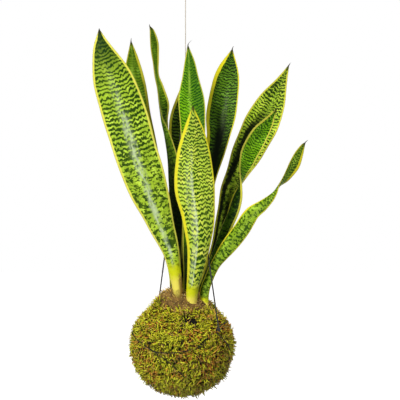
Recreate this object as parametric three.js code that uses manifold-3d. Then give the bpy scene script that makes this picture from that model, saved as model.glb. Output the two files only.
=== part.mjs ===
// Snake plant kokedama: ten channelled leaves in a moss ball that hangs by a cord from a tied loop.
// Millimetres, +Z up, +X right, the front towards -Y. The origin is the inner top of the hanging loop.
import * as THREE from 'three';
import { mergeVertices } from 'three/addons/utils/BufferGeometryUtils.js';
import Module from 'manifold-3d';

const wasm = await Module();
wasm.setup();

// --- Driving sizes -------------------------------------------------------------------------------

const hangDrop = 390;            // from the hook down to the crown of the ball
const gap = 0.3;                 // clearance between pieces that touch
const leafScale = 1;             // height and spread of the leaves above the crown
const leafThickness = 2.8;       // at the middle of a blade
const leafMargin = 0.9;          // at the edge of a blade
const footThickness = 4.6;       // at the middle of a leaf foot

const ballRadius = 62;
const ballCentreX = -4;
const jacketThickness = 8;       // sheet moss
const crownAngle = 38;           // half-angle of the opening that the leaves come through, degrees
const crownRise = 1.5;           // how far the soil stands out of the opening

const rhizomeDepth = 36;         // from the crown down to its middle
const rhizomeRadius = { x: 33, y: 31, z: 9 };
const rhizomeCentre = { x: 1, y: -6 };

const threadDiameter = 1.2;      // binding round the moss
const legDiameter = 1.8;         // hanger legs
const lineDiameter = 1.2;        // pale hanging line
const hitchKnotRadius = 2.6;
const gatheringKnotRadius = 2.6;
const gatheringKnotHalf = 5;     // half the length of the whipped knot
const gatheringDrop = 156;       // from the hook down to the gathering knot
const loopKnotRadius = 2.2;
const loopHeight = 24;
const loopWidth = 12;

// --- Colours -------------------------------------------------------------------------------------

const leafLook = { color: 0x6f9a2c, roughness: 0.4, metalness: 0 };
const mossLook = { color: 0x8a8a2a, roughness: 1, metalness: 0 };
const soilLook = { color: 0x3d2b1c, roughness: 1, metalness: 0 };
const rhizomeLook = { color: 0xc99a5b, roughness: 0.7, metalness: 0 };
const cordLook = { color: 0x262422, roughness: 0.8, metalness: 0 };
const twineLook = { color: 0xd8cfc0, roughness: 0.9, metalness: 0 };

// --- Leaves --------------------------------------------------------------------------------------
// Each row is a station on the midrib: x, y and z from the crown, the width of the blade from margin to
// margin, the turn of its face about the midrib and the curl of its channel, both in degrees. A turn of 0
// faces the front, and a positive curl brings the margins forward.

const footDepth = rhizomeDepth - 3;    // the feet start inside the rhizome and are cut back to it

const leaves = {
  leaf_left_broad: [
    [-8, -26, -footDepth, 11, 0, -90],
    [-9, -29, 0, 11, 0, -100],
    [-16, -33, 45, 19, 0, -90],
    [-31, -36, 88, 34, 0, -60],
    [-46, -38, 130, 48, 0, -40],
    [-59, -39, 169, 51, 0, -32],
    [-72, -40, 212, 53, 4, -28],
    [-86, -41, 253, 47, 6, -28],
    [-97, -42, 286, 25, 6, -30],
    [-101, -42, 310, 1.4, 6, -30],
  ],
  leaf_left_rear: [
    [-12, 3, -footDepth, 11, 0, 80],
    [-12, 3, 2, 12, 0, 90],
    [-16, 8, 41, 15, -5, 80],
    [-25, 15, 84, 20, -8, 60],
    [-40, 24, 126, 28, -10, 50],
    [-51, 34, 169, 34, -12, 45],
    [-60, 44, 212, 34, -12, 45],
    [-64, 53, 254, 28, -12, 45],
    [-66, 60, 284, 15, -12, 45],
    [-68, 64, 306, 1.4, -12, 45],
  ],
  leaf_slender_twisted: [
    [-13, -13, -footDepth, 11, -180, 80],
    [-13, -12, 0, 12, -175, 90],
    [-13, -8, 44, 15, -165, 90],
    [-13, -3, 88, 19, -155, 90],
    [-15, 2, 128, 21, -140, 95],
    [-19, 5, 160, 21, -122, 100],
    [-24, 8, 186, 20, -100, 100],
    [-28, 11, 206, 18, -75, 100],
    [-29, 13, 226, 19, -52, 95],
    [-32, 16, 246, 12, -50, 90],
    [-36, 18, 262, 8.2, -50, 80],
    [-37.5, 21, 282, 11, -42, 60],
    [-38.7, 23, 300, 13, -38, 50],
    [-41, 25, 314, 8, -38, 50],
    [-43.5, 25, 321, 1.2, -40, 50],
  ],
  leaf_rear_dark: [
    [-3, 18, -footDepth, 11, 0, 80],
    [-3, 20, 2, 12, 0, 90],
    [-4, 29, 43, 18, 0, 70],
    [-4, 38, 88, 24, 0, 55],
    [-4, 45, 130, 30, 0, 50],
    [-4, 50, 169, 32, 0, 50],
    [-4, 54, 208, 32, 0, 45],
    [2, 57, 244, 20, 0, 45],
    [4, 59, 273, 1.4, 0, 40],
  ],
  leaf_centre_tall: [
    [4, -11, -footDepth, 11, 0, 80],
    [4, -14, 0, 12, 0, 85],
    [4, -18, 40, 14, 0, 75],
    [5, -22, 80, 17, 0, 60],
    [6, -23, 120, 20, 0, 50],
    [8, -20, 160, 26, 0, 42],
    [9, -15, 198, 30, 0, 36],
    [7, -12, 230, 31, 0, 30],
    [6, -11, 256, 20, 0, 30],
    [5, -10, 276, 12, 0, 30],
    [3, -10, 294, 1.2, 0, 30],
  ],
  leaf_front: [
    [7, -27, -footDepth, 11, 0, -80],
    [8, -33, 0, 14, 0, -110],
    [13, -42, 32, 21, 0, -85],
    [16, -48, 63, 30, 0, -62],
    [15, -51, 94, 40, 0, -45],
    [11, -53, 126, 47, 0, -34],
    [10, -54, 159, 41, 0, -30],
    [10, -55, 189, 26, 0, -28],
    [9, -56, 219, 1.4, 0, -28],
  ],
  leaf_rear_right: [
    [2, 4, -footDepth, 11, 0, 80],
    [2, 4, 2, 12, 0, 90],
    [7, 8, 38, 14, 0, 80],
    [15, 12, 76, 15, 0, 80],
    [23, 17, 112, 16, 0, 78],
    [31, 22, 147, 19, 0, 72],
    [39, 29, 184, 28, 0, 60],
    [43, 34, 214, 36, 0, 55],
    [48, 39, 246, 34, 0, 50],
    [52, 44, 270, 25, 0, 45],
    [57, 49, 295, 1.4, 0, 40],
  ],
  leaf_right_tall: [
    [18, 13, -footDepth, 11, 0, 80],
    [21, 14, 2, 12, 0, 85],
    [30, 20, 30, 12, 0, 85],
    [39, 25, 62, 13, 0, 85],
    [46, 30, 98, 15, 0, 85],
    [52, 35, 122, 19, 0, 80],
    [62, 39, 142, 27, 0, 72],
    [73, 44, 164, 36, 0, 66],
    [84, 49, 186, 41, 0, 58],
    [94, 54, 206, 42, 0, 52],
    [106, 59, 231, 34, 0, 46],
    [118, 62, 256, 15, 0, 42],
    [127, 64, 276, 1.4, 0, 40],
  ],
  leaf_right_curled: [
    [19, -4, -footDepth, 11, -150, 80],
    [20, -4, 2, 12, -150, 80],
    [27, -4, 18, 11, -150, 78],
    [33, -3, 37, 11.5, -148, 76],
    [40, -2, 56, 13.5, -146, 72],
    [48, -1, 76, 15, -144, 70],
    [56, 0, 95, 16, -142, 70],
    [60, 1, 108, 16, -137, 68],
    [62.5, 2, 118, 15, -121, 66],
    [65.5, 3, 128, 12, -92, 64],
    [67, 4, 137, 13, -66, 60],
    [69, 5, 147, 18, -46, 56],
    [72, 7, 156, 22, -34, 54],
    [76, 9, 167, 24.5, -26, 52],
    [82.5, 12, 179, 24.5, -22, 50],
    [90, 14, 191, 22, -20, 48],
    [99, 17, 203, 15, -20, 46],
    [110, 20, 220, 1.2, -20, 40],
  ],
  leaf_right_low: [
    [21, -18, -footDepth, 11, -160, 80],
    [22, -20, 0, 12, -160, 85],
    [28, -22.5, 18, 11, -158, 80],
    [34.5, -25, 33, 12.5, -156, 78],
    [42, -27, 45, 16.5, -155, 78],
    [49, -29, 54.5, 19.5, -153, 75],
    [57.5, -31, 66, 22, -151, 72],
    [65.5, -33.5, 77, 22.5, -149, 69],
    [72, -35, 87, 21.5, -147, 66],
    [79, -36.5, 96, 19.5, -145, 62],
    [89.5, -38.5, 104, 17, -142, 58],
    [99, -40.5, 112, 13, -132, 54],
    [105, -41.5, 118.5, 11, -112, 50],
    [109, -42, 125, 11, -90, 50],
    [113, -43, 130.5, 11, -66, 50],
    [119, -44, 138, 12.5, -42, 50],
    [127, -46, 151, 15, -28, 50],
    [133, -47, 164, 11, -22, 50],
    [137.5, -48, 173, 5.5, -20, 50],
    [140.5, -48, 177, 1.2, -20, 50],
  ],
};

// --- Cord routes ---------------------------------------------------------------------------------
// Directions from the middle of the ball, as longitude (0 at the front, 90 at the right) and latitude.

const hitchRight = [41, 17];
const hitchLeft = [-150, 13];

const wraps = [
  [[-65, 9], [-43, 1], [-27, -7], [-13, -17], [-1, -30], [18, -50], [70, -68], [145, -60], [178, -32],
    [-168, -6], hitchLeft, [-112, 17], [-86, 14]],
  [[-43, -2], [-27, -5], [-7, -5], [9, -2], [21, 2], hitchRight, [80, 21], [115, 12], [150, -5],
    [-175, -16], [-140, -19], [-105, -13], [-70, -6]],
  [hitchRight, [62, -2], [76, -26], [108, -52], [178, -66], [-128, -48], [-130, -16], hitchLeft,
    [-170, 25], [158, 30], [122, 31], [82, 27]],
];

// --- Small helpers -------------------------------------------------------------------------------

const degrees = THREE.MathUtils.degToRad;
const crown = new THREE.Vector3(0, 0, -hangDrop);
const ballCentre = new THREE.Vector3(ballCentreX, 0, -hangDrop - ballRadius);

/** Moves every vertex of a closed geometry to place(position, uv) and merges the shared ones. */
function reshape(geometry, place) {
  const position = geometry.attributes.position;
  const uv = geometry.attributes.uv;
  for (let i = 0; i < position.count; i += 1) {
    const old = new THREE.Vector3().fromBufferAttribute(position, i);
    const at = place(old, uv.getX(i), uv.getY(i));
    position.setXYZ(i, at.x, at.y, at.z);
  }
  geometry.deleteAttribute('normal');
  geometry.deleteAttribute('uv');
  return mergeVertices(geometry, 1e-4);
}

/** A manifold solid from a merged geometry. */
function solidOf(geometry) {
  const mesh = new wasm.Mesh({
    numProp: 3,
    vertProperties: Float32Array.from(geometry.attributes.position.array),
    triVerts: Uint32Array.from(geometry.index.array),
  });
  return new wasm.Manifold(mesh);
}

/** A three.js geometry from a manifold solid. */
function geometryOf(solid) {
  const mesh = solid.getMesh();
  const geometry = new THREE.BufferGeometry();
  geometry.setAttribute('position', new THREE.BufferAttribute(Float32Array.from(mesh.vertProperties), 3));
  geometry.setIndex(new THREE.BufferAttribute(Uint32Array.from(mesh.triVerts), 1));
  return geometry;
}

/** Takes the cutters away from a solid, one after another. */
function cutAway(solid, cutters) {
  return cutters.reduce((left, cutter) => left.subtract(cutter), solid);
}

/** A unit direction from a longitude and a latitude in degrees. */
function direction([longitude, latitude]) {
  const level = Math.cos(degrees(latitude));
  const x = level * Math.sin(degrees(longitude));
  const y = -level * Math.cos(degrees(longitude));
  return new THREE.Vector3(x, y, Math.sin(degrees(latitude)));
}

/** A bell curve that is 1 at 0 and fades over the given spread. */
function bell(offset, spread) {
  return Math.exp(-((offset / spread) ** 2));
}

// --- Leaf ----------------------------------------------------------------------------------------

/** Curves through a leaf's stations: where its midrib runs, and its width, turn and curl. */
function leafCurves(stations) {
  const midrib = stations.map(([x, y, z]) => {
    const scale = z > 0 ? leafScale : 1;
    return new THREE.Vector3(x * scale, y, z * scale).add(crown);
  });
  const section = stations.map((row) => new THREE.Vector3(row[3], row[4], row[5]));
  return {
    midrib: new THREE.CatmullRomCurve3(midrib, false, 'catmullrom', 0.5),
    section: new THREE.CatmullRomCurve3(section, false, 'catmullrom', 0.5),
  };
}

/** Thickness of the middle of a leaf at a share t of its length: a fleshy foot, then an even blade. */
function middleThickness(t) {
  const foot = THREE.MathUtils.smoothstep(t, 0.08, 0.4);
  const tip = THREE.MathUtils.smoothstep(t, 0.8, 1);
  return THREE.MathUtils.lerp(footThickness, leafThickness, foot) - (leafThickness - leafMargin) * 0.6 * tip;
}

/**
 * A leaf as a closed solid: an arc-shaped section carried along the midrib. The section's chord is the
 * width, its arc is the curl, and its wall thins from the middle to the margins. Grow makes the room
 * that the leaf needs round it.
 */
function leafSolid(stations, grow) {
  const acrossSteps = 4;
  const alongSteps = 2 * (stations.length - 1) + 4;
  const { midrib, section } = leafCurves(stations);
  const front = new THREE.Vector3(0, -1, 0);
  const geometry = reshape(new THREE.BoxGeometry(1, 1, 1, acrossSteps, 1, alongSteps), (old) => {
    const t = old.z + 0.5;
    const share = 2 * old.x;
    const side = -old.y;
    const form = section.getPoint(t);
    const width = Math.max(form.x, 1) + 2 * grow;
    const curl = degrees(Math.abs(form.z) < 4 ? 4 : form.z);
    const tangent = midrib.getTangent(t);
    const facing = front.clone().addScaledVector(tangent, -front.dot(tangent)).normalize();
    const across = new THREE.Vector3().crossVectors(tangent, facing);
    across.applyAxisAngle(tangent, -degrees(form.y));
    facing.applyAxisAngle(tangent, -degrees(form.y));
    const radius = width / (2 * Math.sin(curl / 2));
    const angle = (share * curl) / 2;
    const outward = facing.clone().multiplyScalar(Math.cos(angle)).addScaledVector(across, -Math.sin(angle));
    const middle = middleThickness(t);
    const wall = leafMargin + (middle - leafMargin) * (1 - share * share) + 2 * grow;
    return midrib.getPoint(t)
      .addScaledVector(across, radius * Math.sin(angle))
      .addScaledVector(facing, radius * (1 - Math.cos(angle)))
      .addScaledVector(outward, side * wall);
  });
  return solidOf(geometry);
}

// --- Ball ----------------------------------------------------------------------------------------

/** Distance from the ball's middle to the moss: round below, dropped shoulders and a mound in front. */
function mossRadius(towards) {
  const latitude = THREE.MathUtils.radToDeg(Math.asin(THREE.MathUtils.clamp(towards.z, -1, 1)));
  const shoulder = -4 * bell(latitude - 44, 18);
  const mound = 8 * bell(towards.distanceTo(direction([-42, 66])), 0.24);
  const lumps = 0.9 * Math.sin(5 * towards.x + 1) * Math.cos(4 * towards.y + 2) * Math.cos(6 * towards.z);
  return ballRadius + shoulder + mound + lumps;
}

/** Distance from the ball's middle to the soil: under the jacket, and standing out at the crown. */
function soilRadius(towards) {
  const axis = new THREE.Vector3(0.1, -0.13, 1).normalize();
  const away = THREE.MathUtils.radToDeg(towards.angleTo(axis));
  const covered = THREE.MathUtils.smoothstep(away, crownAngle - 8, crownAngle + 10);
  return mossRadius(towards) + crownRise - (jacketThickness + crownRise) * covered;
}

/** A ball-shaped solid whose surface is radiusOf(direction) from the ball's middle. */
function roundSolid(radiusOf, across, down) {
  const geometry = reshape(new THREE.SphereGeometry(1, across, down), (old) => {
    const towards = new THREE.Vector3(old.x, -old.z, old.y).normalize();
    return towards.clone().multiplyScalar(radiusOf(towards)).add(ballCentre);
  });
  return solidOf(geometry);
}

/** The rhizome, a lumpy lens, or the room that it needs when grow is more than nothing. */
function rhizomeSolid(grow) {
  const geometry = reshape(new THREE.SphereGeometry(1, 20, 10), (old) => {
    const lobes = 1 + 0.06 * Math.cos(5 * Math.atan2(old.z, old.x)) * (1 - old.y * old.y);
    return new THREE.Vector3(
      rhizomeCentre.x + old.x * (rhizomeRadius.x * lobes + grow),
      rhizomeCentre.y - old.z * (rhizomeRadius.y * lobes + grow),
      -rhizomeDepth + old.y * (rhizomeRadius.z + grow),
    ).add(crown);
  });
  return solidOf(geometry);
}

// --- Cords ---------------------------------------------------------------------------------------

/** Distance from the ball's middle to the centreline of a wrap, each layer lying over the last. */
function wrapRadius(towards, layer) {
  const step = threadDiameter + gap;
  return mossRadius(towards) + gap + threadDiameter / 2 + layer * step;
}

/** A thread wound round the moss: a torus laid along a closed route of directions. */
function wrapGeometry(route, layer) {
  const curve = new THREE.CatmullRomCurve3(route.map(direction), true, 'catmullrom', 0.5);
  const centreAt = (u) => {
    const towards = curve.getPoint(u).normalize();
    return towards.multiplyScalar(wrapRadius(towards, layer)).add(ballCentre);
  };
  return reshape(new THREE.TorusGeometry(10, 1, 6, 60), (old, u, v) => {
    const centre = centreAt(u % 1);
    const outward = centre.clone().sub(ballCentre).normalize();
    const along = curve.getTangent(u % 1).projectOnPlane(outward).normalize();
    const beside = new THREE.Vector3().crossVectors(outward, along);
    return centre
      .addScaledVector(outward, (threadDiameter / 2) * Math.cos(2 * Math.PI * v))
      .addScaledVector(beside, (threadDiameter / 2) * Math.sin(2 * Math.PI * v));
  });
}

/** A taut cord between two knots, ending a gap short of each. */
function tautCord(from, fromRadius, to, toRadius, diameter) {
  const way = to.clone().sub(from).normalize();
  const start = from.clone().addScaledVector(way, fromRadius + gap);
  const end = to.clone().addScaledVector(way, -toRadius - gap);
  const section = new THREE.Shape();
  section.absarc(0, 0, diameter / 2, 0, 2 * Math.PI);
  return new THREE.ExtrudeGeometry(section, {
    curveSegments: 4,  // makes 8 sides
    steps: Math.min(80, Math.ceil(start.distanceTo(end) / (3 * diameter))),
    extrudePath: new THREE.LineCurve3(start, end),
  });
}

/** A knot: a rounded lump of the given radius and half-length, with waists between its turns of cord. */
function knotGeometry(centre, radius, half = radius) {
  return reshape(new THREE.SphereGeometry(1, 12, 9), (old) => {
    const turns = 1 - 0.04 * (1 + Math.cos(6 * Math.asin(THREE.MathUtils.clamp(old.y, -1, 1))));
    return new THREE.Vector3(old.x * radius * turns, -old.z * radius * turns, old.y * half).add(centre);
  });
}

/** The tied loop: a torus drawn out to a drop that hangs from its inner top, at the origin. */
function loopGeometry() {
  return reshape(new THREE.TorusGeometry(10, 1, 8, 40), (old, u, v) => {
    const turn = 2 * Math.PI * u;
    const half = loopHeight / 2;
    const narrowing = 0.5 * (1 + Math.cos(turn));
    const outward = new THREE.Vector3(Math.sin(turn), 0, Math.cos(turn));
    const tube = (lineDiameter / 2) * Math.cos(2 * Math.PI * v);
    const reach = (loopWidth / 2) * (0.25 + 0.75 * narrowing ** 0.6);
    return new THREE.Vector3(
      outward.x * reach + outward.x * tube,
      (lineDiameter / 2) * Math.sin(2 * Math.PI * v),
      outward.z * half - half + lineDiameter / 2 + outward.z * tube,
    );
  });
}

// --- Assembly ------------------------------------------------------------------------------------

const plant = new THREE.Group();

/** Adds one named piece to the plant. */
function addPiece(name, geometry, look) {
  geometry.computeVertexNormals();
  const mesh = new THREE.Mesh(geometry, new THREE.MeshStandardMaterial(look));
  mesh.name = name;
  plant.add(mesh);
}

const rhizomeRoom = rhizomeSolid(gap);
const sockets = Object.values(leaves).map((stations) => leafSolid(stations, gap));
const soil = roundSolid(soilRadius, 28, 20);
const soilRoom = roundSolid((towards) => soilRadius(towards) + gap, 28, 20);

for (const [name, stations] of Object.entries(leaves)) {
  addPiece(name, geometryOf(leafSolid(stations, 0).subtract(rhizomeRoom)), leafLook);
}
addPiece('rhizome', geometryOf(rhizomeSolid(0)), rhizomeLook);
addPiece('soil_core', geometryOf(cutAway(soil, [rhizomeRoom, ...sockets])), soilLook);
addPiece('moss_jacket', geometryOf(cutAway(roundSolid(mossRadius, 32, 22), [soilRoom, ...sockets])), mossLook);

wraps.forEach((route, layer) => {
  addPiece(`binding_wrap_${layer + 1}`, wrapGeometry(route, layer), cordLook);
});

/** The middle of a hitch knot, which sits on top of every layer of the binding. */
function hitchCentre(at) {
  const towards = direction(at);
  const seat = wrapRadius(towards, wraps.length - 1) + threadDiameter / 2 + gap + hitchKnotRadius;
  return towards.multiplyScalar(seat).add(ballCentre);
}

const gathering = new THREE.Vector3(0, 0, -gatheringDrop);
const loopKnot = new THREE.Vector3(0, 0, -loopHeight - gap - loopKnotRadius);
for (const [side, at] of [['right', hitchRight], ['left', hitchLeft]]) {
  const hitch = hitchCentre(at);
  addPiece(`hitch_knot_${side}`, knotGeometry(hitch, hitchKnotRadius), cordLook);
  const leg = tautCord(gathering, gatheringKnotHalf, hitch, hitchKnotRadius, legDiameter);
  addPiece(`hanger_leg_${side}`, leg, cordLook);
}
addPiece('gathering_knot', knotGeometry(gathering, gatheringKnotRadius, gatheringKnotHalf), cordLook);
const line = tautCord(loopKnot, loopKnotRadius, gathering, gatheringKnotHalf, lineDiameter);
addPiece('hanging_line', line, twineLook);
addPiece('loop_knot', knotGeometry(loopKnot, loopKnotRadius), twineLook);
addPiece('hanging_loop', loopGeometry(), twineLook);

export default plant;
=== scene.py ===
"""Snake plant kokedama: ten channelled leaves in a moss ball, hung by a cord from a tied loop.

Lengths are in millimetres and turn into metres where a mesh, a light or the camera is made. The origin is
the inner top of the hanging loop, +Z is up and the front faces -Y. The crown is the point on the axis
where the leaves come out of the ball.
"""

import logging
from dataclasses import dataclass, field
from enum import Enum
from typing import Sequence, Union

import bpy
import numpy as np
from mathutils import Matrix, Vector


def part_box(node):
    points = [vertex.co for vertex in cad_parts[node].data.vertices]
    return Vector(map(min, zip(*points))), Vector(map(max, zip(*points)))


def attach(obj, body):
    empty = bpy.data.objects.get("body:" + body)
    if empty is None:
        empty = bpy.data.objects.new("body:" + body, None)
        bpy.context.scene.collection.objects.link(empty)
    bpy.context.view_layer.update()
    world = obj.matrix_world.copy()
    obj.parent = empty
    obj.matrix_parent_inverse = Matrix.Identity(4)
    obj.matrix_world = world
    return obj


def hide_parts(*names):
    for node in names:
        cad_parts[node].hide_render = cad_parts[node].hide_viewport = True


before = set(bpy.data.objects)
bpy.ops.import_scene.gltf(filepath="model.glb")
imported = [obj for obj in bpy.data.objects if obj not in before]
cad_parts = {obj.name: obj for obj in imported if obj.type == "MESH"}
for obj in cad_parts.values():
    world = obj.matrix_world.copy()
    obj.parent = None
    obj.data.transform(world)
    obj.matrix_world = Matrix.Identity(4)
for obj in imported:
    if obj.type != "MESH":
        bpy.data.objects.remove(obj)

MM = 0.001
BODY = "root"
LOG = logging.getLogger("kokedama")
CROWN_DROP = 234.0  # from the gathering knot down to the crown

Colour = tuple[float, float, float]
Socket = bpy.types.NodeSocket
Feed = Union[Socket, float, Sequence[float]]


class Slot(Enum):
    """The finishes that the record names."""

    LEAF = "leaf"
    MOSS = "moss"
    SOIL = "soil"
    RHIZOME = "rhizome"
    DARK_CORD = "dark_cord"
    PALE_TWINE = "pale_twine"


# --- Shared mathematics --------------------------------------------------------------------------


def unit(vectors: np.ndarray) -> np.ndarray:
    """Vectors scaled to length one along their last axis."""
    return vectors / np.maximum(np.linalg.norm(vectors, axis=-1, keepdims=True), 1e-12)


def smoothstep(values: np.ndarray, low: float, high: float) -> np.ndarray:
    """The cubic 3x^2 - 2x^3 of how far each value is between low and high, held at 0 and 1."""
    x = np.clip((values - low) / (high - low), 0.0, 1.0)
    return x * x * (3.0 - 2.0 * x)


def bell(offset: np.ndarray, spread: float) -> np.ndarray:
    """A bell curve, exp(-(offset / spread)^2): 1 at nothing, fading over the spread."""
    return np.exp(-((offset / spread) ** 2))


def direction(longitude: float, latitude: float) -> np.ndarray:
    """A unit direction, with longitude 0 at the front and 90 at the right, both in degrees."""
    lon, lat = np.radians(longitude), np.radians(latitude)
    return np.array([np.cos(lat) * np.sin(lon), -np.cos(lat) * np.cos(lon), np.sin(lat)])


def through(stations: np.ndarray, share: np.ndarray, closed: bool = False) -> np.ndarray:
    """A smooth curve through stations.

    Each span is the cubic Hermite piece between two stations whose end slopes are half the chord between
    the stations on either side. An open curve gets one more station beyond each end, mirrored.

    Args:
        stations: One row for each station.
        share: How far along, from 0 to 1 by stations.
        closed: Whether the last station runs on into the first.

    Returns:
        One row for each share.
    """
    if closed:
        padded = np.vstack([stations[-1:], stations, stations[:2]])
        place = (share % 1.0) * len(stations)
        span = np.minimum(place.astype(int), len(stations) - 1)
    else:
        before = 2 * stations[:1] - stations[1:2]
        after = 2 * stations[-1:] - stations[-2:-1]
        padded = np.vstack([before, stations, after])
        place = share * (len(stations) - 1)
        span = np.clip(place.astype(int), 0, len(stations) - 2)
    w = (place - span)[:, None]
    p0, p1, p2, p3 = (padded[span + step] for step in range(4))
    leave, arrive = 0.5 * (p2 - p0), 0.5 * (p3 - p1)
    bend = -3 * p1 + 3 * p2 - 2 * leave - arrive
    twist = 2 * p1 - 2 * p2 + leave + arrive
    return p1 + leave * w + bend * w**2 + twist * w**3


@dataclass(frozen=True)
class Ripple:
    """A smooth random field: a sum of sine waves in random directions.

    Attributes:
        wavelength: The typical distance from crest to crest.
        seed: Fixes the directions and phases.
        waves: How many sines are added.
    """

    wavelength: float
    seed: int
    waves: int = 14

    def at(self, points: np.ndarray) -> np.ndarray:
        """The field at points, about -1 to 1: the mean of sin(k . p + phase), scaled to unit spread."""
        rng = np.random.default_rng(self.seed)
        ways = unit(rng.normal(size=(self.waves, 3)))
        pitch = self.wavelength * rng.uniform(0.7, 1.5, self.waves)
        waves = ways * (2 * np.pi / pitch)[:, None]
        phase = rng.uniform(0, 2 * np.pi, self.waves)
        return np.sin(points @ waves.T + phase).sum(axis=1) / np.sqrt(self.waves)


# --- Surfaces ------------------------------------------------------------------------------------


@dataclass
class Surface:
    """A closed surface, with marks on its vertices that the finishes read.

    Attributes:
        points: One row for each vertex, in millimetres.
        quads: Four-cornered faces, by vertex number.
        triangles: Three-cornered faces, by vertex number.
        marks: Named rows of three numbers, one for each vertex.
    """

    points: np.ndarray
    quads: np.ndarray
    triangles: np.ndarray
    marks: dict[str, np.ndarray] = field(default_factory=dict)

    def volume(self) -> float:
        """The signed volume: a sixth of the sum of a . (b x c) over the faces cut into triangles."""
        cut = np.vstack([self.quads[:, [0, 1, 2]], self.quads[:, [0, 2, 3]], self.triangles])
        middle = self.points.mean(axis=0)
        a, b, c = (self.points[cut[:, corner]] - middle for corner in range(3))
        return float(np.einsum("ij,ij->i", a, np.cross(b, c)).sum() / 6.0)

    def make(self, name: str, finish: bpy.types.Material) -> bpy.types.Object:
        """The surface as an object at the origin, smooth and facing out.

        Args:
            name: The object's name.
            finish: Its material.

        Returns:
            The new object, linked to the scene.
        """
        flip = -1 if self.volume() < 0 else 1
        faces = self.quads[:, ::flip].tolist() + self.triangles[:, ::flip].tolist()
        mesh = bpy.data.meshes.new(name)
        mesh.from_pydata((self.points * MM).tolist(), [], faces)
        for mark, rows in self.marks.items():
            layer = mesh.attributes.new(mark, "FLOAT_VECTOR", "POINT")
            layer.data.foreach_set("vector", np.ascontiguousarray(rows, dtype=np.float32).ravel())
        mesh.polygons.foreach_set("use_smooth", np.ones(len(faces), dtype=bool))
        mesh.materials.append(finish)
        mesh.update()
        piece = bpy.data.objects.new(name, mesh)
        bpy.context.scene.collection.objects.link(piece)
        return piece


def ring_faces(rows: int, columns: int, closed: bool) -> tuple[np.ndarray, np.ndarray]:
    """Faces of a tube of rings, with each open end closed by a strip across its ring.

    Args:
        rows: How many rings, one after another.
        columns: How many vertices each ring has, an even number.
        closed: Whether the last ring joins the first.

    Returns:
        The quads and the triangles.
    """
    last = rows if closed else rows - 1
    row, column = np.meshgrid(np.arange(last), np.arange(columns), indexing="ij")
    ahead, beside = (row + 1) % rows, (column + 1) % columns
    here, over = row * columns, ahead * columns
    corners = [here + column, here + beside, over + beside, over + column]
    quads = np.stack(corners, axis=-1).reshape(-1, 4)
    if closed:
        return quads, np.zeros((0, 3), dtype=int)
    half = columns // 2
    j = np.arange(1, half - 1)
    strip = np.stack([j, columns - j, columns - j - 1, j + 1], axis=-1)
    ends = np.array([[0, columns - 1, 1], [half - 1, half + 1, half]])
    top = (rows - 1) * columns
    quads = np.vstack([quads, strip, strip[:, ::-1] + top])
    return quads, np.vstack([ends, ends[:, ::-1] + top])


def tangents(path: np.ndarray, closed: bool) -> np.ndarray:
    """The unit direction of a path at each of its points, from the points on either side."""
    if closed:
        return unit(np.roll(path, -1, axis=0) - np.roll(path, 1, axis=0))
    return unit(np.gradient(path, axis=0))


def travelled(path: np.ndarray) -> np.ndarray:
    """The distance along a path at each of its points."""
    steps = np.linalg.norm(np.diff(path, axis=0), axis=1)
    return np.concatenate([[0.0], np.cumsum(steps)])


@dataclass(frozen=True)
class Rope:
    """How a cord is laid up.

    Attributes:
        diameter: Across the whole cord.
        plies: How many strands are twisted together.
        lay: The length in which a strand goes once round.
        groove: How deep the grooves between strands are, as a share of the radius.
        sides: Vertices round the cord.
    """

    diameter: float
    plies: int = 3
    lay: float = 7.0
    groove: float = 0.2
    sides: int = 18

    def along(self, path: np.ndarray, outward: np.ndarray, closed: bool = False) -> Surface:
        """The cord's surface along a path.

        Round each point of the path the radius is R (1 - groove (1 + cos(plies (a - turn))) / 2), where a
        goes round the cord from outward and turn grows with the distance, once in each lay.

        Args:
            path: The centreline.
            outward: A direction for each point that isn't along the path.
            closed: Whether the path runs back into its start.

        Returns:
            The surface, marked with its strands.
        """
        way = tangents(path, closed)
        beside = unit(np.cross(way, outward))
        up = np.cross(beside, way)
        gone = travelled(path)
        total = gone[-1] + (np.linalg.norm(path[0] - path[-1]) if closed else 0.0)
        turns = max(1, round(total / self.lay * self.plies)) / self.plies if closed else total / self.lay
        turn = (2 * np.pi * turns * gone / total)[:, None]
        a = np.linspace(0, 2 * np.pi, self.sides, endpoint=False)[None, :]
        strand = 0.5 * (1 + np.cos(self.plies * (a - turn)))
        radius = 0.5 * self.diameter * (1 - self.groove * strand)
        points = (
            path[:, None, :]
            + up[:, None, :] * (radius * np.cos(a))[..., None]
            + beside[:, None, :] * (radius * np.sin(a))[..., None]
        )
        quads, triangles = ring_faces(len(path), self.sides, closed)
        far = np.broadcast_to(gone[:, None], strand.shape)
        marks = np.stack([strand, far, np.broadcast_to(a, strand.shape)], axis=-1)
        return Surface(points.reshape(-1, 3), quads, triangles, {"strand": marks.reshape(-1, 3)})


# --- Finishes ------------------------------------------------------------------------------------


def paint(red: float, green: float, blue: float) -> Colour:
    """A colour given as 0 to 255 for a screen, turned into the linear numbers that a shader takes."""
    share = np.array([red, green, blue]) / 255.0
    linear = np.where(share <= 0.04045, share / 12.92, ((share + 0.055) / 1.055) ** 2.4)
    return (float(linear[0]), float(linear[1]), float(linear[2]))


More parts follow.
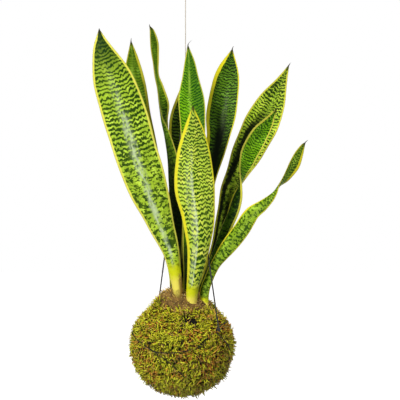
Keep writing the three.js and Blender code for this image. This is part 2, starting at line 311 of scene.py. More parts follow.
class Recipe:
    """Builds the nodes of one material, a step at a time."""

    def __init__(self, name: str) -> None:
        """Starts a material of that name."""
        self.material = bpy.data.materials.new(name)
        self.material.use_nodes = True
        self.tree = self.material.node_tree
        self.shader = self.tree.nodes["Principled BSDF"]

    def feed(self, socket: Socket, value: Feed) -> None:
        """Links a socket to another, or sets its number or colour."""
        if isinstance(value, bpy.types.NodeSocket):
            self.tree.links.new(value, socket)
        elif isinstance(value, (tuple, list)):
            socket.default_value = (*value, 1.0) if len(socket.default_value) == 4 else tuple(value)
        else:
            socket.default_value = value

    def step(self, kind: str, feeds: dict[Union[int, str], Feed], **settings: object) -> bpy.types.Node:
        """Adds a node, with its settings and what goes into it."""
        node = self.tree.nodes.new(kind)
        for name, value in settings.items():
            setattr(node, name, value)
        for name, value in feeds.items():
            self.feed(node.inputs[name], value)
        return node

    def mark(self, name: str) -> list[Socket]:
        """The three numbers of a mark on the surface."""
        vector = self.step("ShaderNodeAttribute", {}, attribute_name=name).outputs["Vector"]
        return list(self.step("ShaderNodeSeparateXYZ", {0: vector}).outputs)

    def place(self) -> Socket:
        """The place in the object, in metres."""
        return self.step("ShaderNodeTexCoord", {}).outputs["Object"]

    def sum(self, a: Feed, b: Feed) -> Socket:
        """a + b."""
        return self.step("ShaderNodeMath", {0: a, 1: b}, operation="ADD").outputs[0]

    def times(self, a: Feed, b: Feed) -> Socket:
        """a b."""
        return self.step("ShaderNodeMath", {0: a, 1: b}, operation="MULTIPLY").outputs[0]

    def least(self, a: Feed, b: Feed) -> Socket:
        """The smaller of a and b."""
        return self.step("ShaderNodeMath", {0: a, 1: b}, operation="MINIMUM").outputs[0]

    def size(self, a: Feed) -> Socket:
        """a without its sign."""
        return self.step("ShaderNodeMath", {0: a}, operation="ABSOLUTE").outputs[0]

    def wave(self, a: Feed) -> Socket:
        """The sine of a, moved to run from 0 to 1."""
        sine = self.step("ShaderNodeMath", {0: a}, operation="SINE").outputs[0]
        return self.sum(self.times(sine, 0.5), 0.5)

    def ease(self, value: Feed, low: float, high: float, start: float = 0.0, end: float = 1.0) -> Socket:
        """Start below low, end above high, and smoothly between them."""
        feeds = {0: value, 1: low, 2: high, 3: start, 4: end}
        node = self.step("ShaderNodeMapRange", feeds, interpolation_type="SMOOTHSTEP")
        return node.outputs[0]

    def hump(self, value: Feed, middle: float, spread: float) -> Socket:
        """1 at the middle, falling smoothly to 0 at a spread to either side."""
        return self.ease(self.size(self.sum(value, -middle)), 0.0, spread, 1.0, 0.0)

    def join(self, x: Feed, y: Feed, z: Feed) -> Socket:
        """A vector of three numbers."""
        return self.step("ShaderNodeCombineXYZ", {0: x, 1: y, 2: z}).outputs[0]

    def noise(self, at: Feed, scale: float, detail: float = 2.0, rough: float = 0.5) -> Socket:
        """Smooth noise about 0.5."""
        feeds = {"Vector": at, "Scale": scale, "Detail": detail, "Roughness": rough}
        return self.step("ShaderNodeTexNoise", feeds).outputs[0]

    def blend(self, share: Feed, a: Feed, b: Feed) -> Socket:
        """Colour a, turning to colour b by the share."""
        feeds = {0: share, 6: a, 7: b}
        return self.step("ShaderNodeMix", feeds, data_type="RGBA", clamp_factor=True).outputs[2]

    def relief(self, height: Feed, strength: float, depth: float) -> None:
        """Raises the surface by a height, as bump; depth is in millimetres."""
        feeds = {"Strength": strength, "Distance": depth * MM, "Height": height}
        node = self.step("ShaderNodeBump", feeds)
        self.feed(self.shader.inputs["Normal"], node.outputs[0])

    def finish(self, colour: Feed, rough: Feed, **constants: float) -> bpy.types.Material:
        """Ends the recipe.

        Args:
            colour: The base colour.
            rough: The roughness.
            constants: Other numbers of the shader, by socket name with underscores for spaces.

        Returns:
            The material.
        """
        self.feed(self.shader.inputs["Base Color"], colour)
        self.feed(self.shader.inputs["Roughness"], rough)
        for name, value in constants.items():
            self.shader.inputs[name.replace("_", " ")].default_value = value
        return self.material


@dataclass(frozen=True)
class LeafFinish:
    """The banded skin of a snake plant leaf.

    Attributes:
        light: The ground between the bands.
        dark: The bands.
        margin: The stripe along the edges.
        left, right: How wide the stripe is along each edge, in millimetres.
        period: From one band to the next, in millimetres.
        contrast: How strong the bands are.
        blotch: How far the bands break into blotches, from 0 to 1.
        wander: How far the bands stray up and down, in millimetres.
        jag: How far the bands zigzag, in millimetres.
        bloom_and_highlight: How strong the pale waxy streak is, partly waxy coat and partly painted
            highlight, where it lies across the blade from -1 to 1, and its spread.
        painted_highlight: The same three numbers for a thin pale line, a painted highlight.
        fold_shade: The same three numbers for a dark fold, painted shade in the crease.
        rib: The same three numbers for a pale midline.
        chevron: How far the bands rise from the midline to the margins, in millimetres.
        solid: How thick the bands are, where 0.5 is as wide as the ground between them.
        painted_side_shade: Painted shade: how much darker the right half is, or the left where it is
            negative.
        shade: Painted shade: between which heights over the crown the skin darkens, and from which share
            across.
        fold_shift: How far the painted fold shade moves across towards the tip.
        fold_shade_top: The share of the length at which the painted fold shade has faded away.
        sheath: The height over the crown up to which brown skin clings to the right side.
        tip: How dark the last part of the blade is.
        foot_at: The heights over the crown at which the cream foot starts and the yellow above it ends.
        back: How dark the other face is.
    """

    light: Colour
    dark: Colour
    margin: Colour
    left: float
    right: float
    period: float = 6.7
    contrast: float = 0.8
    blotch: float = 0.3
    wander: float = 9.0
    jag: float = 8.0
    bloom_and_highlight: tuple[float, float, float] = (0.0, 0.0, 0.4)
    painted_highlight: tuple[float, float, float] = (0.0, 0.0, 0.1)
    fold_shade: tuple[float, float, float] = (0.0, 0.0, 0.3)
    rib: tuple[float, float, float] = (0.0, 0.0, 0.2)
    chevron: float = 4.0
    solid: float = 0.5
    painted_side_shade: float = 0.0
    shade: tuple[float, float, float] = (0.0, 0.0, 0.0)
    fold_shift: float = 0.0
    fold_shade_top: float = 0.92
    sheath: float = 0.0
    tip: float = 0.5
    foot_at: tuple[float, float] = (-14.0, -2.0)
    back: float = 0.3

    def bands(self, r: Recipe, offset: float) -> tuple[Socket, Socket]:
        """The cross-bands.

        The band is a sine of the distance along the blade, pushed up and down by a slow wander and by
        fine teeth that are drawn out along the blade, and broken by blotches.

        Args:
            r: The recipe to add to.
            offset: Moves the pattern, so that no two leaves match.

        Returns:
            How dark the band is, and the teeth.
        """
        across, along, share = r.mark("blade")
        course = r.mark("course")[0]
        slow = r.noise(r.join(r.times(across, 0.055), r.times(along, 0.045), offset), 1.0, 2.0)
        teeth = r.noise(r.join(r.times(across, 0.34), r.times(along, 0.09), offset + 7.0), 1.0, 3.0, 0.55)
        broad = r.noise(r.join(r.times(across, 0.22), r.times(along, 0.12), offset + 3.0), 1.0, 2.0)
        push = r.sum(r.times(slow, self.wander), r.sum(r.times(teeth, self.jag), r.times(broad, 5.0)))
        bowed = r.sum(r.sum(along, push), r.times(r.size(share), -self.chevron))
        pitch = 2 * np.pi / self.period
        phase = r.times(bowed, r.ease(course, 0.35, 1.0, pitch, pitch * 1.3))
        band = r.wave(phase)
        spots = r.noise(r.join(r.times(across, 0.22), r.times(along, 0.34), offset + 11.0), 1.0, 3.0, 0.65)
        mottled = r.ease(spots, 0.42, 0.62)
        broken = r.ease(course, 0.42, 0.72, min(0.75, 1.9 * self.blotch), 0.55 * self.blotch)
        kept = r.sum(r.times(broken, -1.0), 1.0)
        mixed = r.sum(r.times(band, kept), r.times(mottled, broken))
        patch = r.noise(r.join(r.times(across, 0.05), r.times(along, 0.03), offset + 5.0), 1.0, 1.0)
        level = r.sum(mixed, r.times(r.sum(patch, -0.5), 0.7))
        edge = 0.94 - 0.9 * self.solid
        return r.ease(level, edge - 0.09, edge + 0.09), teeth

    def foot(self, r: Recipe, face: Socket) -> Socket:
        """The yellow to cream foot, and the brown skin where it leaves the moss."""
        height = r.mark("course")[1]
        grain = r.noise(r.place(), 210.0, 4.0, 0.65)
        level = r.sum(height, r.times(r.sum(grain, -0.5), 20.0))
        low, high = self.foot_at
        span = high - low
        yellow = r.blend(r.ease(level, low + 0.45 * span, high, 1.0, 0.0), face, paint(212, 218, 14))
        cream = r.blend(r.ease(level, low, low + 0.5 * span, 1.0, 0.0), yellow, paint(240, 226, 96))
        return r.blend(r.ease(level, low - 14.0, low - 4.0, 0.85, 0.0), cream, paint(104, 74, 38))

    def make(self, name: str, offset: float) -> bpy.types.Material:
        """The finish as a material.

        Args:
            name: The material's name.
            offset: Moves the pattern.

        Returns:
            The material.
        """
        r = Recipe(name)
        across, along, share = r.mark("blade")
        left, right, side = r.mark("edge")
        course, height, ahead = r.mark("course")
        front = r.ease(side, -0.1, 0.1)
        band, teeth = self.bands(r, offset)

        drawn = r.join(r.times(across, 0.30), r.times(along, 0.016), offset + 2.0)
        streak = r.noise(drawn, 1.0, 3.0, 0.6)
        line = r.noise(r.join(r.times(across, 0.5), r.times(along, 2.2), offset), 1.0, 2.0)
        ground = r.blend(r.ease(streak, 0.3, 0.7), self.light, tuple(0.72 * c for c in self.light))
        bright = tuple(min(1.0, 1.35 * c) for c in self.light)
        ground = r.blend(r.ease(line, 0.5, 0.75, 0.0, 0.35), ground, bright)
        cloud = r.noise(r.join(r.times(across, 0.13), r.times(along, 0.07), offset + 19.0), 1.0, 3.0, 0.6)
        palest = tuple(min(1.0, 1.7 * c + 0.04) for c in self.light)
        ground = r.blend(r.ease(cloud, 0.48, 0.68, 0.0, 0.6), ground, palest)
        ground = r.blend(r.ease(cloud, 0.28, 0.45, 0.5, 0.0), ground, tuple(0.5 * c for c in self.light))
        strength = r.ease(r.noise(drawn, 0.6, 1.0), 0.25, 0.6, self.contrast * 0.88, self.contrast)
        face = r.blend(r.times(band, strength), ground, self.dark)

        # Painted shade: one half of the blade is darkened towards the band colour, the half turned from the
        # light.
        half = r.ease(r.times(share, 1.0 if self.painted_side_shade > 0 else -1.0), -0.35, 0.5, 0.0, abs(self.painted_side_shade))
        face = r.blend(half, face, self.dark)
        face = r.blend(r.ease(ahead, 4.0, 75.0, self.tip, 0.0), face, tuple(0.8 * c for c in self.dark))
        fade = r.times(r.ease(course, 0.06, 0.2), r.ease(course, 0.55, 0.85, 1.0, 0.0))
        for (amount, middle, spread), tone, run in (
            (self.rib, paint(168, 205, 70), r.ease(course, 0.95, 1.0, 1.0, 0.0)),
            # Partly the leaf's waxy coat and partly painted highlight: a pale streak along the blade.
            (self.bloom_and_highlight, paint(196, 214, 168), fade),
            # Painted highlight: a thin pale line along the blade.
            (self.painted_highlight, paint(226, 240, 200), fade),
        ):
            if amount > 0:
                wavy = r.sum(share, r.times(r.sum(streak, -0.5), spread * 0.8))
                shape = r.times(r.hump(wavy, middle, spread), run)
                grained = r.times(shape, r.ease(teeth, 0.36, 0.6, amount * 0.2, amount))
                face = r.blend(r.times(grained, front), face, tone)

        # Painted shade: a near-black band along the fold, where shade falls in the crease, fading out
        # towards the tip.
        amount, middle, spread = self.fold_shade
        if amount > 0:
            moved = r.sum(r.sum(share, r.times(r.ease(course, 0.64, 0.84), -self.fold_shift)), -middle)
            moved = r.sum(moved, r.times(r.sum(teeth, -0.5), 0.35))
            deep = r.ease(r.size(moved), spread * 0.3, spread, amount, 0.0)
            deep = r.times(deep, r.ease(course, self.fold_shade_top - 0.16, self.fold_shade_top, 1.0, 0.0))
            face = r.blend(r.times(deep, front), face, paint(5, 13, 2))
        # Painted shade: low on the blade, from a share across, the skin darkens where the crowded leaves
        # shade it.
        low, high, start = self.shade
        if high > low:
            dim = r.times(r.ease(height, low, high, 0.94, 0.0), r.ease(share, start - 0.25, start + 0.25))
            face = r.blend(dim, face, paint(9, 20, 3))
        face = r.blend(r.ease(side, -0.1, 0.1, self.back, 0.0), face, paint(14, 34, 6))
        for distance, width in ((left, self.left), (right, self.right)):
            across_all = r.sum(left, right)
            wide = r.least(r.times(across_all, 0.21), r.times(r.sum(teeth, 1.3), width * 0.55))
            inside = r.ease(r.sum(distance, r.times(wide, -1.0)), -0.45, 0.45, 1.0, 0.0)
            tinged = r.blend(r.ease(streak, 0.35, 0.75, 0.0, 0.55), self.margin, paint(220, 210, 52))
            edged = r.blend(r.ease(distance, 0.1, 0.9, 0.55, 0.0), tinged, paint(150, 150, 70))
            face = r.blend(r.times(inside, 0.95), face, edged)
        face = self.foot(r, face)
        if self.sheath > 0:
            torn = r.sum(height, r.times(r.sum(r.noise(r.place(), 260.0, 4.0, 0.7), -0.5), 34.0))
            low_down = r.ease(torn, self.sheath - 8.0, self.sheath, 0.9, 0.0)
            clings = r.times(low_down, r.ease(share, 0.1, 0.5))
            face = r.blend(clings, face, paint(150, 116, 58))
        face = r.blend(r.ease(ahead, 0.0, 8.0, 0.96, 0.0), face, paint(40, 32, 22))

        ridges = r.noise(r.join(r.times(across, 1.6), r.times(along, 0.035), offset), 1.0, 2.0)
        pores = r.noise(r.place(), 1400.0, 2.0)
        height_map = r.sum(r.times(ridges, 0.7), r.sum(r.times(band, 0.15), r.times(pores, 0.25)))
        r.relief(height_map, 0.35, 0.35)
        rough = r.ease(r.noise(r.place(), 220.0, 3.0), 0.3, 0.7, 0.42, 0.58)
        return r.finish(face, rough, Specular_IOR_Level=0.07)


@dataclass(frozen=True)
class MossFinish:
    """Moss of one tint: dark at the root of each frond, partly its own darker base and partly painted shade
    between the fronds, its own colour by the tip.

    Attributes:
        root: The colour deep between the fronds, partly the fronds' own darker base and partly painted
            shade.
        stem: The colour halfway.
        tip: The colour at the ends.
        dry: What the dry fronds turn to.
    """

    root: Colour
    stem: Colour
    tip: Colour
    dry: Colour

    def make(self, name: str) -> bpy.types.Material:
        """The finish as a material, read from each frond's mark: share of length, tint and dryness."""
        r = Recipe(name)
        gone, tint, dry = r.mark("frond")
        cloud = r.noise(r.place(), 75.0, 3.0)
        grain = r.noise(r.place(), 900.0, 2.0)
        # Painted shade, partly the moss's own darker base: each frond darkens towards the root colour at
        # its foot, and fronds of low tint are taken towards it as well.
        body = r.blend(r.ease(r.sum(gone, r.times(tint, 0.25)), 0.2, 0.58), self.root, self.stem)
        body = r.blend(r.ease(r.sum(gone, r.times(tint, 0.7)), 0.55, 1.2), body, self.tip)
        body = r.blend(r.ease(tint, 0.0, 0.36, 0.78, 0.0), body, self.root)
        body = r.blend(r.ease(r.sum(dry, r.times(cloud, 0.5)), 0.72, 1.0, 0.0, 0.9), body, self.dry)
        body = r.blend(r.ease(grain, 0.35, 0.7, 0.25, 0.0), body, self.root)
        r.relief(grain, 0.4, 0.3)
        rough = r.ease(grain, 0.3, 0.7, 0.75, 0.95)
        return r.finish(body, rough, Specular_IOR_Level=0.25)


@dataclass(frozen=True)
class EarthFinish:
    """A rough natural ground: two tones, clods and grit."""

    low: Colour
    high: Colour
    fleck: Colour
    clod: float = 180.0

    def make(self, name: str) -> bpy.types.Material:
        """The finish as a material, from noise at two scales."""
        r = Recipe(name)
        at = r.place()
        clods = r.noise(at, self.clod, 5.0, 0.6)
        grit = r.noise(at, 1300.0, 2.0)
        body = r.blend(r.ease(clods, 0.35, 0.65), self.low, self.high)
        body = r.blend(r.ease(grit, 0.6, 0.72, 0.0, 0.8), body, self.fleck)
        r.relief(r.sum(clods, r.times(grit, 0.4)), 0.8, 1.5)
        return r.finish(body, r.ease(grit, 0.3, 0.7, 0.8, 1.0), Specular_IOR_Level=0.2)


@dataclass(frozen=True)
class CordFinish:
    """Twisted cord: painted shade darkens the grooves between its strands, with fibres along them."""

    strand: Colour
    groove: Colour
    fibre: Colour

    def make(self, name: str) -> bpy.types.Material:
        """The finish as a material, read from the strand mark: groove depth, distance and turn."""
        r = Recipe(name)
        groove, far, turn = r.mark("strand")
        fibres = r.noise(r.join(r.times(turn, 2.2), r.times(far, 0.9), 0.0), 1.6, 3.0)
        worn = r.noise(r.place(), 90.0, 2.0)
        # Painted shade: the grooves between the strands take the groove colour.
        body = r.blend(r.ease(groove, 0.35, 1.0), self.strand, self.groove)
        body = r.blend(r.ease(fibres, 0.5, 0.72, 0.0, 0.6), body, self.fibre)
        body = r.blend(r.ease(worn, 0.5, 0.8, 0.0, 0.35), body, self.fibre)
        r.relief(fibres, 0.5, 0.15)
        return r.finish(body, r.ease(fibres, 0.3, 0.7, 0.7, 0.92), Specular_IOR_Level=0.3)


DARK_CORD = CordFinish(paint(46, 44, 44), paint(14, 13, 12), paint(92, 90, 88))
BLACK_THREAD = CordFinish(paint(15, 13, 12), paint(4, 4, 3), paint(34, 30, 26))
PALE_TWINE = CordFinish(paint(216, 206, 193), paint(150, 138, 122), paint(238, 232, 222))
SOIL = EarthFinish(paint(72, 52, 26), paint(140, 108, 54), paint(186, 156, 92))
RHIZOME = EarthFinish(paint(176, 128, 72), paint(214, 172, 112), paint(120, 82, 44), 120.0)


# --- Pieces --------------------------------------------------------------------------------------


def settle(piece: bpy.types.Object, slot: Slot, *nodes: str) -> bpy.types.Object:
    """Fixes a finished piece to the plant's body and reports it.

    Args:
        piece: The new piece.
        slot: The record's finish that it takes; not used.
        nodes: The CAD nodes that it stands for.

    Returns:
        The piece.
    """
    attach(piece, BODY)
    if nodes:
        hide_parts(*nodes)
    LOG.info("%s: %d faces", piece.name, len(piece.data.polygons))
    return piece


def corner(node: str, top: bool) -> np.ndarray:
    """The highest or lowest corner of a CAD node, in millimetres."""
    return np.array([float(c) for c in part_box(node)[1 if top else 0]]) / MM


def middle(node: str) -> np.ndarray:
    """The middle of a CAD node's box, in millimetres."""
    return 0.5 * (corner(node, True) + corner(node, False))


@dataclass
class Studio:
    """The camera, the lights, the pale floor and the white room.

    Attributes:
        camera_at: Where the camera stands.
        lens: Its focal length.
        floor_at: The height of the floor.
        floor_reach: How far the floor goes to each side.
        plant_at: The place that the lights face, in metres.
    """

    camera_at: tuple[float, float, float] = (17.4, -2000.0, -280.0)
    lens: float = 150.0
    floor_at: float = -760.0
    floor_reach: float = 9000.0
    plant_at: tuple[float, float, float] = (0.0, 0.0, -0.3)

    def camera(self) -> None:
        """A level camera in front of the plant."""
        data = bpy.data.cameras.new("camera")
        data.lens = self.lens
        data.sensor_width = 36.0
        data.clip_end = 100.0
        data.dof.use_dof = False
        camera = bpy.data.objects.new("camera", data)
        camera.location = [c * MM for c in self.camera_at]
        camera.rotation_euler = (np.pi / 2, 0.0, 0.0)
        bpy.context.scene.collection.objects.link(camera)
        bpy.context.scene.camera = camera

    def light(self, name: str, at: Sequence[float], size: float, power: float, tone: Colour) -> None:
        """A square soft light at a place in metres, turned to the middle of the plant."""
        data = bpy.data.lights.new(name, "AREA")
        data.size = size
        data.energy = power
        data.color = tone
        lamp = bpy.data.objects.new(name, data)
        lamp.location = at
        way = np.array(self.plant_at) - np.array(at)
        level = float(np.hypot(way[0], way[1]))
        tipped = float(np.arctan2(level, -way[2]))
        swung = float(np.arctan2(way[1], way[0])) - np.pi / 2
        lamp.rotation_euler = (tipped, 0.0, swung)
        lamp.visible_camera = False
        bpy.context.scene.collection.objects.link(lamp)

    def lights(self) -> None:
        """A strong key from the upper left, a weak fill from the lower right, one above and one behind."""
        self.light("key", (-1.1, -2.0, 0.7), 0.8, 58.0, (1.0, 0.99, 0.94))
        self.light("fill", (1.2, -2.2, -0.6), 1.2, 13.0, (1.0, 1.0, 0.98))
        self.light("top", (0.2, 0.1, 1.7), 1.0, 20.0, (1.0, 1.0, 1.0))
        self.light("rim", (0.9, 1.7, 0.5), 1.2, 18.0, (1.0, 1.0, 1.0))

    def room(self) -> None:
        """A white background, which lights the plant more weakly than it looks."""
        world = bpy.data.worlds.new("room")
        bpy.context.scene.world = world
        world.use_nodes = True
        tree = world.node_tree
        tree.nodes.clear()
        seen = tree.nodes.new("ShaderNodeBackground")
        seen.inputs["Color"].default_value = (1.0, 1.0, 1.0, 1.0)
        lit = tree.nodes.new("ShaderNodeBackground")
        lit.inputs["Color"].default_value = (1.0, 1.0, 1.0, 1.0)
        lit.inputs["Strength"].default_value = 0.15
        ray = tree.nodes.new("ShaderNodeLightPath")
        mix = tree.nodes.new("ShaderNodeMixShader")
        out = tree.nodes.new("ShaderNodeOutputWorld")
        tree.links.new(ray.outputs["Is Camera Ray"], mix.inputs[0])
        tree.links.new(lit.outputs[0], mix.inputs[1])
        tree.links.new(seen.outputs[0], mix.inputs[2])
        tree.links.new(mix.outputs[0], out.inputs[0])

    def floor(self) -> None:
        """A wide pale floor well below the ball."""
        sides = [-self.floor_reach, self.floor_reach]
        x, y = np.meshgrid(sides, sides)
        points = np.stack([x.ravel(), y.ravel(), np.full(4, self.floor_at)], axis=-1)
        mesh = bpy.data.meshes.new("floor")
        mesh.from_pydata((points * MM).tolist(), [], [[0, 1, 3, 2]])
        r = Recipe("floor")
        cloud = r.noise(r.place(), 1.5, 2.0)
        tone = r.blend(r.ease(cloud, 0.3, 0.7), (0.86, 0.86, 0.86), (0.88, 0.88, 0.88))
        r.feed(r.shader.inputs["Emission Color"], (1.0, 1.0, 1.0))
        mesh.materials.append(r.finish(tone, 0.9, Emission_Strength=1.0))
        floor = bpy.data.objects.new("floor", mesh)
        floor.visible_diffuse = False
        bpy.context.scene.collection.objects.link(floor)

    def build(self) -> None:
        """Sets up the camera, the lights, the room and the floor."""
        self.camera()
        self.lights()
        self.room()
        self.floor()
        bpy.context.scene.view_settings.view_transform = "Standard"


@dataclass
class Ball:
    """The form of the moss ball: round below, with dropped shoulders and a mound at the left of its crown.

    Attributes:
        radius: The round part's radius.
        centre_x: How far its middle lies to the right of the hanging loop.
        crown: The height at which the leaves come out.
    """

    radius: float = 62.0
    centre_x: float = -4.0
    crown: float = -390.0

    def centre(self) -> np.ndarray:
        """The middle of the ball."""
        return np.array([self.centre_x, 0.0, self.crown - self.radius])

    def reach(self, towards: np.ndarray) -> np.ndarray:
        """Distance from the middle to the moss, for rows of unit directions.

        The radius, less a bell of latitude at the shoulder, plus a bell round the mound, plus low lumps
        that are a product of three sines.
        """
        x, y, z = towards[:, 0], towards[:, 1], towards[:, 2]
        latitude = np.degrees(np.arcsin(np.clip(z, -1, 1)))
        mound = 8 * bell(np.linalg.norm(towards - direction(-42, 66), axis=1), 0.24)
        lumps = 0.9 * np.sin(5 * x + 1) * np.cos(4 * y + 2) * np.cos(6 * z)
        return self.radius - 4 * bell(latitude - 44, 18) + mound + lumps

    def thread_reach(self, towards: np.ndarray, layer: int, diameter: float, gap: float) -> np.ndarray:
        """Distance to a binding thread's middle, each layer lying over the last."""
        return self.reach(towards) + gap + diameter / 2 + layer * (diameter + gap)


class Knots:
    """The forms that the knots take."""

    @staticmethod
    def overhand(centre: np.ndarray, radius: float, cord: Rope, tilt: float = 0.0) -> Surface:
        """A pulled-up overhand knot.

        The cord runs along (sin t + 2 sin 2t, -sin 3t, cos t - 2 cos 2t), scaled to the radius and tilted.
        """
        t = np.linspace(0, 2 * np.pi, 96, endpoint=False)
        across, up = np.sin(t) + 2 * np.sin(2 * t), np.cos(t) - 2 * np.cos(2 * t)
        curve = np.stack([across, -np.sin(3 * t), up], axis=-1)
        curve *= (radius - cord.diameter / 2) / 3.0
        c, s = np.cos(tilt), np.sin(tilt)
        curve = curve @ np.array([[c, s, 0], [-s, c, 0], [0, 0, 1]])
        return cord.along(curve + centre, unit(curve) + 0.01, closed=True)

    @staticmethod
    def whipping(centre: np.ndarray, radius: float, half: float, cord: Rope) -> Surface:
        """A whipped knot: a cord wound down a helix, and back up inside it to its start."""
        turns = int(2 * half / cord.diameter)
        t = np.linspace(0, 1, 40 * turns)
        a = 2 * np.pi * turns * t
        wide = (radius - cord.diameter / 2) * (1 - 0.22 * (2 * t - 1) ** 4)
        z = (half - cord.diameter / 2) * (1 - 2 * t)
        path = np.stack([wide * np.cos(a), wide * np.sin(a), z], axis=-1) + centre
        outward = np.stack([np.cos(a), np.sin(a), 0 * a], axis=-1)
        return cord.along(path, outward)

    @staticmethod
    def core(centre: np.ndarray, radius: float, half: float) -> Surface:
        """The bundle of cords inside a whipping: a rounded spindle."""
        t = np.linspace(-1, 1, 24)
        a = np.linspace(0, 2 * np.pi, 18, endpoint=False)
        wide = radius * np.maximum(1 - t**6, 0.02) ** 0.5
        lobes = 1 - 0.12 * (1 + np.cos(3 * a[None, :] + 2.0 * t[:, None])) / 2
        ring = wide[:, None] * lobes
        height = np.broadcast_to(half * t[:, None], ring.shape)
        points = np.stack([ring * np.cos(a), ring * np.sin(a), height], axis=-1)
        quads, triangles = ring_faces(len(t), len(a), False)
        marks = np.stack([(1 - lobes) / 0.12, points[..., 2], np.broadcast_to(a, ring.shape)], axis=-1)
        flat = points.reshape(-1, 3) + centre
        return Surface(flat, quads, triangles, {"strand": marks.reshape(-1, 3)})


@dataclass
class Hanger:
    """The two legs, the whipped knot that gathers them, the pale line and its tied loop.

    Attributes:
        leg, line, whipping, hitch, tie: How the legs, the line, the whipping, the two hitch knots and the
            loop's knot are laid up.
        bite: How far a cord runs into the gathering knot.
        gathering_half, gathering_radius, gathering_core: Half the gathering knot's height, its radius and
            that of the bundle inside it.
        hitch_radius, tie_radius: The radius of the hitch knots and of the loop's knot.
        loop_half: Half the loop's width.
    """

    leg: Rope = Rope(1.8, 3, 6.0, 0.22)
    line: Rope = Rope(1.2, 2, 4.2, 0.24)
    whipping: Rope = Rope(1.25, 3, 4.0, 0.2, 12)
    hitch: Rope = Rope(1.5, 3, 5.0, 0.2, 12)
    tie: Rope = Rope(1.2, 2, 4.0, 0.22, 12)
    bite: float = 2.2
    gathering_half: float = 5.0
    gathering_radius: float = 2.6
    gathering_core: float = 1.7
    hitch_radius: float = 2.6
    tie_radius: float = 2.2
    loop_half: float = 6.0

    def taut(
        self, name: str, start: np.ndarray, end: np.ndarray, rope: Rope, finish: bpy.types.Material
    ) -> tuple[bpy.types.Object, np.ndarray]:
        """A straight cord between two points.

        Args:
            name: The piece's name.
            start, end: The two points.
            rope: How it is laid up.
            finish: Its material.

        Returns:
            The piece and the points of its centreline.
        """
        steps = int(np.linalg.norm(end - start) / (0.55 * rope.diameter))
        share = np.linspace(0, 1, steps)[:, None]
        path = start + (end - start) * share
        piece = rope.along(path, np.tile([0.0, -1.0, 0.0], (steps, 1))).make(name, finish)
        return piece, path

    def loop_path(self, knot: np.ndarray) -> np.ndarray:
        """The drop-shaped loop: out of its knot, round over the hook and back down beside its start.

        The half-width is a share of the width that grows with (1 + cos a) / 2, where a goes from the
        knot, at a half turn, round the top, at none.
        """
        a = np.linspace(-np.pi * 0.93, np.pi * 0.93, 120)
        narrow = 0.5 * (1 + np.cos(a))
        half = -middle("hanging_loop")[2] + 0.5 * self.line.diameter
        x = np.sin(a) * self.loop_half * (0.25 + 0.75 * narrow**0.6)
        z = np.cos(a) * half - half + 0.5 * self.line.diameter
        round_top = np.stack([x, 0 * a, z], axis=-1)
        foot = np.array([0.66, 0.0, knot[2] + 1.2])
        return np.vstack([foot * [-1, 1, 1], round_top, foot])

    def build(self) -> None:
        """Makes every piece of the hanger."""
        dark, pale = DARK_CORD.make("dark_cord"), PALE_TWINE.make("pale_twine")
        gather = middle("gathering_knot")
        whip = Knots.whipping(gather, self.gathering_radius, self.gathering_half, self.whipping)
        knot = settle(whip.make("gathering_knot_whipping", dark), Slot.DARK_CORD, "gathering_knot")
        core = Knots.core(gather, self.gathering_core, self.gathering_half)
        settle(core.make("gathering_knot_core", dark), Slot.DARK_CORD, "gathering_knot")
        for side, tilt in (("right", 0.4), ("left", -0.9)):
            hitch = middle(f"hitch_knot_{side}")
            tied = Knots.overhand(hitch, self.hitch_radius, self.hitch, tilt)
            settle(tied.make(f"hitch_knot_{side}_tied", dark), Slot.DARK_CORD, f"hitch_knot_{side}")
            way = unit(gather - hitch)
            low, high = hitch + way * 1.2, gather - way * (self.gathering_half - self.bite)
            leg, path = self.taut(f"hanger_leg_{side}_cord", low, high, self.leg, dark)
            settle(leg, Slot.DARK_CORD, f"hanger_leg_{side}")
        tie = middle("loop_knot")
        loop_knot = Knots.overhand(tie, self.tie_radius, self.tie).make("loop_knot_tied", pale)
        settle(loop_knot, Slot.PALE_TWINE, "loop_knot")
        start = gather + [0.0, 0.0, self.gathering_half - self.bite]
        line, path = self.taut("hanging_line_twine", start, tie - [0.0, 0.0, 1.0], self.line, pale)
        settle(line, Slot.PALE_TWINE, "hanging_line")
        path = self.loop_path(tie)
        forward = np.tile([0.0, -1.0, 0.0], (len(path), 1))
        loop = self.line.along(path, forward).make("hanging_loop_twine", pale)
        settle(loop, Slot.PALE_TWINE, "hanging_loop")


